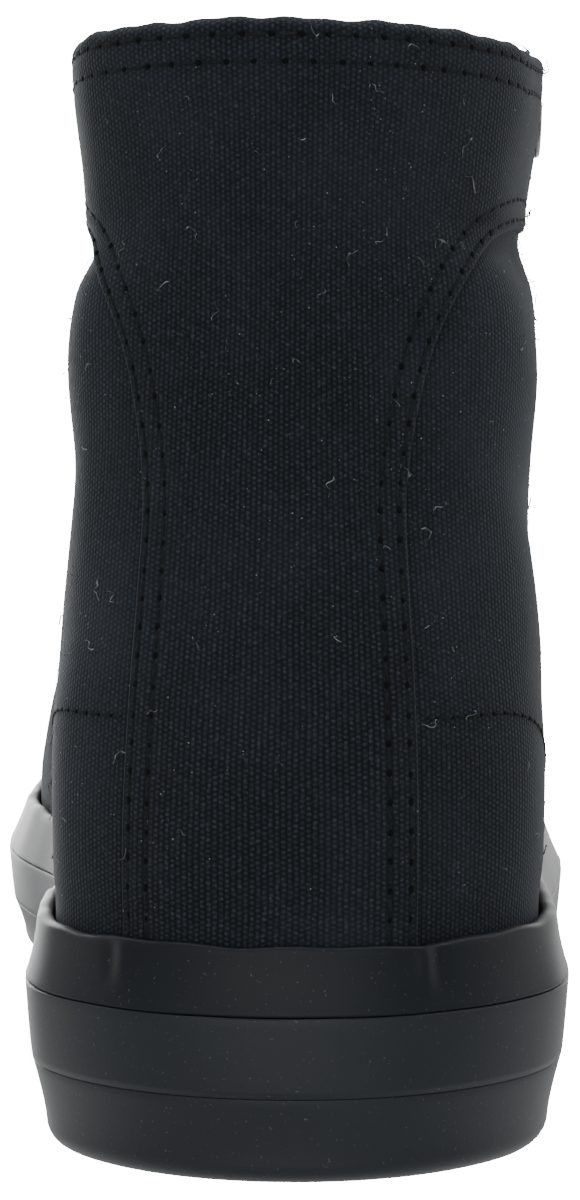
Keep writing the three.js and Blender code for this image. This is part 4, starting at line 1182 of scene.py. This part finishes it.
def thread_tree(name, thread, needle_hole_shade):
    """Stitches on points that carry their directions: a sunk grain of thread, and a flat dark spot of painted
    shade in its needle hole.
    """
    board, given, size, sockets = tree_with(name, {
        "Stitch length": stitch_length * MM, "Thread width": thread_width * MM,
        "Hole width": thread_width * hole_share * MM, "Pitch": stitch_pitch * MM})
    along, out = (board.node("GeometryNodeInputNamedAttribute", {"data_type": "FLOAT_VECTOR"},
                             {"Name": label}, "Attribute") for label in ("along", "out"))
    turn = board.node("FunctionNodeAxesToRotation", {"primary_axis": "Z", "secondary_axis": "X"},
                      {0: out, 1: along})
    waver = board.node("FunctionNodeRandomValue", {"data_type": "FLOAT"},
                       {2: 0.86, 3: 1.12, "Seed": 11}, 1)
    grain = board.node("GeometryNodeMeshUVSphere", None, {"Segments": 10, "Rings": 7, "Radius": 0.5})
    spot = board.node("GeometryNodeMeshUVSphere", None, {"Segments": 8, "Rings": 5, "Radius": 0.5})

    def scaled(shape, x, y, z, shift=0.0):
        return board.node("GeometryNodeTransform", None, {
            "Geometry": shape, "Scale": board.vector(x, y, z),
            "Translation": board.vector(shift, 0.0, 0.0)})

    length, width, hole = size["Stitch length"], size["Thread width"], size["Hole width"]
    shapes = [(scaled(grain, length, width, width * 0.8), thread),
              (scaled(spot, hole * 1.15, hole, hole * 0.5, size["Pitch"] * 0.5), needle_hole_shade)]
    joined = board.node("GeometryNodeJoinGeometry")
    for shape, material in shapes:
        placed = board.node("GeometryNodeInstanceOnPoints", None,
                            {"Points": given, "Instance": shape, "Rotation": turn, "Scale": waver})
        real = board.node("GeometryNodeRealizeInstances", None, {"Geometry": placed})
        coloured = board.node("GeometryNodeSetMaterial", None, {"Geometry": real, "Material": material})
        board.tree.links.new(coloured.socket, joined.socket.node.inputs[0])
    board.node("NodeGroupOutput", None, {"Geometry": joined}, None)
    return board.tree, sockets


def stitched(name, rows, pitch, slot, length=stitch_length, width=thread_width):
    """One mesh with every stitch of the rows; each row is its points and outward directions."""
    laid = [row_of_stitches(points, outs, pitch) for points, outs in rows]
    places, along, out = (np.concatenate([row[k] for row in laid]) for k in range(3))
    mesh = bpy.data.meshes.new(name + "_places")
    mesh.from_pydata((places * MM).tolist(), [], [])
    for label, values in (("along", along), ("out", out)):
        mesh.attributes.new(label, "FLOAT_VECTOR", "POINT").data.foreach_set("vector", values.ravel())
    seeds = bpy.data.objects.new(name + "_places", mesh)
    bpy.context.scene.collection.objects.link(seeds)
    tree, sockets = thread_tree(name, black_thread, hole_shade)
    made = grown(seeds, name, tree, sockets, {
        "Stitch length": length * MM, "Thread width": width * MM,
        "Hole width": width * hole_share * MM, "Pitch": pitch * MM})
    made.data.polygons.foreach_set("use_smooth", np.ones(len(made.data.polygons), bool))
    mount(made, slot, [])


def waxed_thread(name, dark, light):
    """Twisted thread, dull with wax."""
    made, board = finish(name)
    where = board.place()
    twist = board.noise(where, 2400, 2)
    coat(board, Base_Color=board.mix(twist.between(0.35, 0.65), dark + (1,), light + (1,)),
         Roughness=0.7 + twist * 0.2, Specular_IOR_Level=0.12, Normal=board.bump(twist, 0.0001, 0.8))
    return made


black_thread = waxed_thread("black_thread", (0.0040, 0.0052, 0.0066), (0.0110, 0.0138, 0.0170))
# The needle holes are flat dark spots of painted shade, given the thread's finish.
hole_shade = waxed_thread("needle_hole_shade", (0.0006, 0.0007, 0.0008), (0.0014, 0.0016, 0.0018))


def cloth_line(off, height, lift):
    """Points and outward directions on the upper by distance round and height, off its surface."""
    u = station_at(np.asarray(off, float))
    v = v_at_height(u, height)
    return skin(u, v, lift), last_normal(u, v)


edge_steps = np.gradient(edge_line, axis=0)
edge_steps /= np.linalg.norm(edge_steps, axis=-1, keepdims=True)
panel_rows_sewn = []
for side in (-1, 1):
    for inset in row_insets:
        off = edge_line[:, 0] - edge_steps[:, 1] * inset
        height = edge_line[:, 1] + edge_steps[:, 0] * inset
        keep = (height > 30.5) & (off < panel_front - 0.8)
        panel_rows_sewn.append(cloth_line(side * off[keep], height[keep], panel_wall + seat - 0.2))
    for inset in row_insets:
        top = collar_height(station_at(np.array(side * (panel_front - inset))))
        height = np.linspace(edge_line[-1, 1] + 1, float(top) - 2.5, 30)
        panel_rows_sewn.append(cloth_line(side * (panel_front - inset) + 0 * height, height,
                                          panel_wall + seat - 0.32))
collar_off = np.linspace(-panel_front + 1, panel_front - 1, 240)
collar_top = collar_height(station_at(collar_off))
for inset in collar_insets:
    panel_rows_sewn.append(cloth_line(collar_off, collar_top - inset, panel_wall + seat - 0.2))
stitched("panel_stitches", panel_rows_sewn, stitch_pitch, "panel_canvas")


def eyestay_line(inset, side, low, high):
    """Down the eyestay, at an even distance from its cut edge."""
    rows, outs = [], []
    for climb in np.linspace(high, low, 80):
        off = side * (track_edge(climb, side) + inset)
        pair = front_points(climb, [off, off], [0.12, 1.12], True)
        rows.append(pair[0])
        outs.append(pair[1] - pair[0])
    return np.array(rows), np.array(outs)


def counter_line(side):
    """Low arch round the heel, from the heel strip forward."""
    off = side * np.linspace(panel_strip + 1, 92, 120)
    height = 60.5 - 17 * smooth((np.abs(off) - 34) / 58)
    return cloth_line(off, height, 0.05)


def vamp_line(side, inset):
    """The seam where the quarters overlap the vamp, from the tape up to the throat."""
    t = np.linspace(0, 1, 80)
    u = side * (10.9 - 0.9 * smooth(t) - inset / 20)
    v = 0.02 + t * 0.96
    return skin(u, v, 0.12), last_normal(u, v)


quarter_rows = [eyestay_line(inset, side, low, corner_climb - short) for side in (-1, 1)
                for inset, low, short in ((1.9, -4, 7), (17.0, 4, 15))]
quarter_rows += [vamp_line(side, inset) for side in (-1, 1) for inset in (0, 3)]
stitched("quarter_stitches", quarter_rows, stitch_pitch, "canvas")
stitched("counter_stitches", [counter_line(-1), counter_line(1)], 2.6, "canvas", 1.7, 0.42)

tongue_sewn = []
for side in (-1, 1):
    rows, outs = [], []
    for climb in tongue_climbs:
        reach = side * tongue_seam * tongue_reach(climb, side)
        pair = front_points(climb, [reach, reach], [tongue_depth - 0.35, tongue_depth + 0.65])
        rows.append(pair[0])
        outs.append(pair[1] - pair[0])
    tongue_sewn.append((np.array(rows), np.array(outs)))
stitched("tongue_stitches", tongue_sewn, stitch_pitch, "canvas")

# Lint
# Pale cotton fluff caught in the weave of the quarters and the ankle panel: short curled
# fibres and fine specks, lying in drifts.


def lint_tree(fluff):
    """Specks and curled fibres scattered over a cloth; its own patches keep them in drifts."""
    board, given, size, sockets = tree_with("lint", {
        "Specks": 9000.0, "Fibres": 2600.0, "Fibre length": 1.9 * MM, "Fibre width": 0.085 * MM,
        "Speck width": 0.16 * MM})
    length = size["Fibre length"]
    curl = board.node("GeometryNodeCurvePrimitiveBezierSegment", None, {
        "Resolution": 9,
        "Start": board.vector(length * -0.5, 0.0, 0.0),
        "Start Handle": board.vector(length * -0.3, length * 0.55, length * 0.16),
        "End Handle": board.vector(length * 0.1, length * -0.6, length * 0.1),
        "End": board.vector(length * 0.5, length * 0.12, 0.0)})
    thin_ring = board.node("GeometryNodeCurvePrimitiveCircle", None,
                           {"Resolution": 4, "Radius": size["Fibre width"] * 0.5})
    fibre = board.node("GeometryNodeCurveToMesh", None,
                       {"Curve": curl, "Profile Curve": thin_ring, "Fill Caps": True})
    speck = board.node("GeometryNodeMeshIcoSphere", None,
                       {"Radius": size["Speck width"] * 0.5, "Subdivisions": 1})
    drift = board.node("ShaderNodeTexNoise", None, {
        "Vector": board.node("GeometryNodeInputPosition"), "Scale": 55.0, "Detail": 2.0},
        "Fac").between(0.44, 0.66)
    joined = board.node("GeometryNodeJoinGeometry")
    for seed, shape, density, low, high, bending in (
            (3, fibre, size["Fibres"], 0.3, 1.7, 2.6 * MM), (8, speck, size["Specks"], 0.45, 1.6, 0.0)):
        scatter = board.node("GeometryNodeDistributePointsOnFaces", None,
                             {"Mesh": given, "Density": density * (drift * 0.9 + 0.1), "Seed": seed})
        spin = board.node("FunctionNodeRandomValue", {"data_type": "FLOAT_VECTOR"},
                          {0: (-0.25, -0.25, 0.0), 1: (0.25, 0.25, 6.28), "Seed": seed + 20}, 0)
        turned = board.node("FunctionNodeRotateRotation", {"rotation_space": "LOCAL"},
                            {0: scatter.other("Rotation"),
                             1: board.node("FunctionNodeEulerToRotation", None, {0: spin})})
        scale = board.node("FunctionNodeRandomValue", {"data_type": "FLOAT"},
                           {2: low, 3: high, "Seed": seed + 40}, 1)
        placed = board.node("GeometryNodeInstanceOnPoints", None,
                            {"Points": scatter, "Instance": shape, "Rotation": turned, "Scale": scale})
        real = board.node("GeometryNodeRealizeInstances", None, {"Geometry": placed})
        bend = board.node("ShaderNodeTexNoise", None, {
            "Vector": board.node("GeometryNodeInputPosition"), "Scale": 620.0, "Detail": 1.0}, "Color")
        shift = board.node("ShaderNodeVectorMath", {"operation": "SUBTRACT"}, {0: bend, 1: (0.5, 0.5, 0.5)})
        reach = board.node("ShaderNodeVectorMath", {"operation": "SCALE"}, {0: shift, "Scale": bending})
        real = board.node("GeometryNodeSetPosition", None, {"Geometry": real, "Offset": reach})
        coloured = board.node("GeometryNodeSetMaterial", None, {"Geometry": real, "Material": fluff})
        board.tree.links.new(coloured.socket, joined.socket.node.inputs[0])
    board.node("NodeGroupOutput", None, {"Geometry": joined}, None)
    return board.tree, sockets


fluff, board = finish("fluff")
tone = board.noise(board.place(), 900, 1)
coat(board, Base_Color=board.mix(tone.between(0.3, 0.7), (0.03, 0.033, 0.037, 1), (0.2, 0.21, 0.22, 1)),
     Roughness=0.9, Specular_IOR_Level=0.2)
fluff_tree, fluff_sockets = lint_tree(fluff)


def lint_on(cloth, name, slot, specks, fibres):
    """Lint over the outside of one cloth, in pieces to the square metre."""
    mesh = cloth.data.copy()
    ground = bpy.data.objects.new(name + "_ground", mesh)
    bpy.context.scene.collection.objects.link(ground)
    shape = bmesh.new()
    shape.from_mesh(mesh)
    hidden = [f for f in shape.faces if not looks_out(f.calc_center_median(), f.normal, f.material_index)]
    bmesh.ops.delete(shape, geom=hidden, context="FACES")
    shape.to_mesh(mesh)
    shape.free()
    made = grown(ground, name, fluff_tree, fluff_sockets, {"Specks": specks, "Fibres": fibres})
    mount(made, slot, [])


def looks_out(centre, normal, part):
    """Whether a face is canvas above the tape that looks away from the foot."""
    foot = Vector((0.0, 0.03 + max(0.0, centre.y - 0.06), centre.z))
    return part == 0 and centre.z > 0.034 and normal.dot(centre - foot) > 0


lint_on(upper, "quarter_lint", "canvas", 130000.0, 22000.0)
lint_on(panel, "panel_lint", "panel_canvas", 190000.0, 32000.0)

# Camera and light
# The photograph's camera stood behind the heel, looking along the shoe and a little down.
# White light comes from behind the shoe and both sides; the camera's side is kept dark.
frame_height, focal_pixels = 1200, 3509
camera_place = (-0.7, -487.2, 101.8)
camera_dip = radians(3.199)
lens = bpy.data.cameras.new("camera")
lens.sensor_fit = "VERTICAL"
lens.sensor_height = 24.0
lens.lens = 24.0 * focal_pixels / frame_height
lens.clip_start, lens.clip_end = 0.01, 50
camera = bpy.data.objects.new("camera", lens)
camera.location = [c * MM for c in camera_place]
camera.rotation_euler = (pi / 2 - camera_dip, 0, 0)
bpy.context.scene.collection.objects.link(camera)
bpy.context.scene.camera = camera


def softbox(name, place, target, size, power):
    """A lit sheet, in metres and watts, turned to face a point."""
    light = bpy.data.lights.new(name, "AREA")
    light.shape, light.size, light.size_y = "RECTANGLE", size[0], size[1]
    light.energy = power
    made = bpy.data.objects.new(name, light)
    bpy.context.scene.collection.objects.link(made)
    made.location = place
    made.rotation_euler = (Vector(target) - Vector(place)).to_track_quat("-Z", "Y").to_euler()


softbox("left_box", (-0.9, 0.1, 0.35), (0, 0, 0.08), (1.0, 0.9), 1.1)
softbox("right_box", (0.95, 0.15, 0.35), (0, 0, 0.08), (1.0, 0.9), 1.7)
softbox("top_box", (0, 0.15, 1.1), (0, 0.05, 0), (1.0, 1.0), 18)
softbox("heel_box", (-0.1, -1.15, 0.22), (0, 0, 0.08), (1.6, 1.1), 14)
softbox("left_rim", (-0.45, 1.5, 0.2), (-0.03, 0.1, 0.05), (0.7, 0.8), 30)
softbox("right_rim", (0.5, 1.5, 0.2), (0.03, 0.1, 0.05), (0.7, 0.8), 6)

world = bpy.data.worlds.new("studio")
bpy.context.scene.world = world
world.use_nodes = True
world.node_tree.nodes.clear()
board = Board(world.node_tree)
toward = board.node("ShaderNodeSeparateXYZ", None, {0: board.node("ShaderNodeTexCoord", out="Generated")})
ahead = toward.other(1).between(-0.55, 0.75)
below = (0 - toward.other(2)).between(0.02, 0.5)
around_light = board.node("ShaderNodeBackground", None, {
    "Color": (1, 1, 1, 1), "Strength": ahead * 0.95 + below * 0.62 + 0.07})
seen = board.node("ShaderNodeBackground", None, {"Color": (1, 1, 1, 1), "Strength": 24.0})
camera_ray = board.node("ShaderNodeLightPath", out="Is Camera Ray")
studio = board.node("ShaderNodeMixShader", None, {0: camera_ray, 1: around_light, 2: seen})
board.node("ShaderNodeOutputWorld", None, {"Surface": studio}, None)

# Floor
# A round sheet of white paper under the shoe. Only an oval of it round the sole takes the
# shoe's shadow, and its rim melts into the white studio.
floor_radius, floor_low, floor_corners = 0.9, -0.0004, 96
oval_middle, oval_half = (-0.004, 0.105), (0.044, 0.145)
floor_mesh = bpy.data.meshes.new("floor")
floor_points = [(floor_radius * cos(a), 0.1 + floor_radius * sin(a), floor_low)
                for a in np.linspace(0, 2 * pi, floor_corners + 1)[:-1]]
floor_mesh.from_pydata(floor_points, [], [tuple(range(floor_corners))])
floor = bpy.data.objects.new("floor", floor_mesh)
bpy.context.scene.collection.objects.link(floor)
paper, board = finish("paper")
where = board.place()
parts = board.node("ShaderNodeSeparateXYZ", None, {0: where})
x, y = ((parts.other(k) - oval_middle[k]) / oval_half[k] for k in (0, 1))
reach = (x * x + y * y) ** 0.5
clear = reach.between(0.8, 1.0)
sheet = board.node("ShaderNodeBsdfPrincipled", None, {
    "Base Color": board.mix(board.noise(where, 3), (0.86, 0.86, 0.86, 1), (0.9, 0.9, 0.9, 1)),
    "Roughness": 0.9, "Specular IOR Level": 0.1,
    # The paper glows with painted light: faintly near the sole, and white towards the oval's rim, where it
    # fades out.
    "Emission Color": board.mix(reach.between(0.8, 1.1), (0.02, 0.02, 0.02, 1), (1, 1, 1, 1)),
    "Emission Strength": 0.6})
gone = board.node("ShaderNodeBsdfTransparent")
shown = board.node("ShaderNodeMixShader", None, {0: clear, 1: sheet, 2: gone})
board.node("ShaderNodeOutputMaterial", None, {"Surface": shown}, None)
floor_mesh.materials.append(paper)
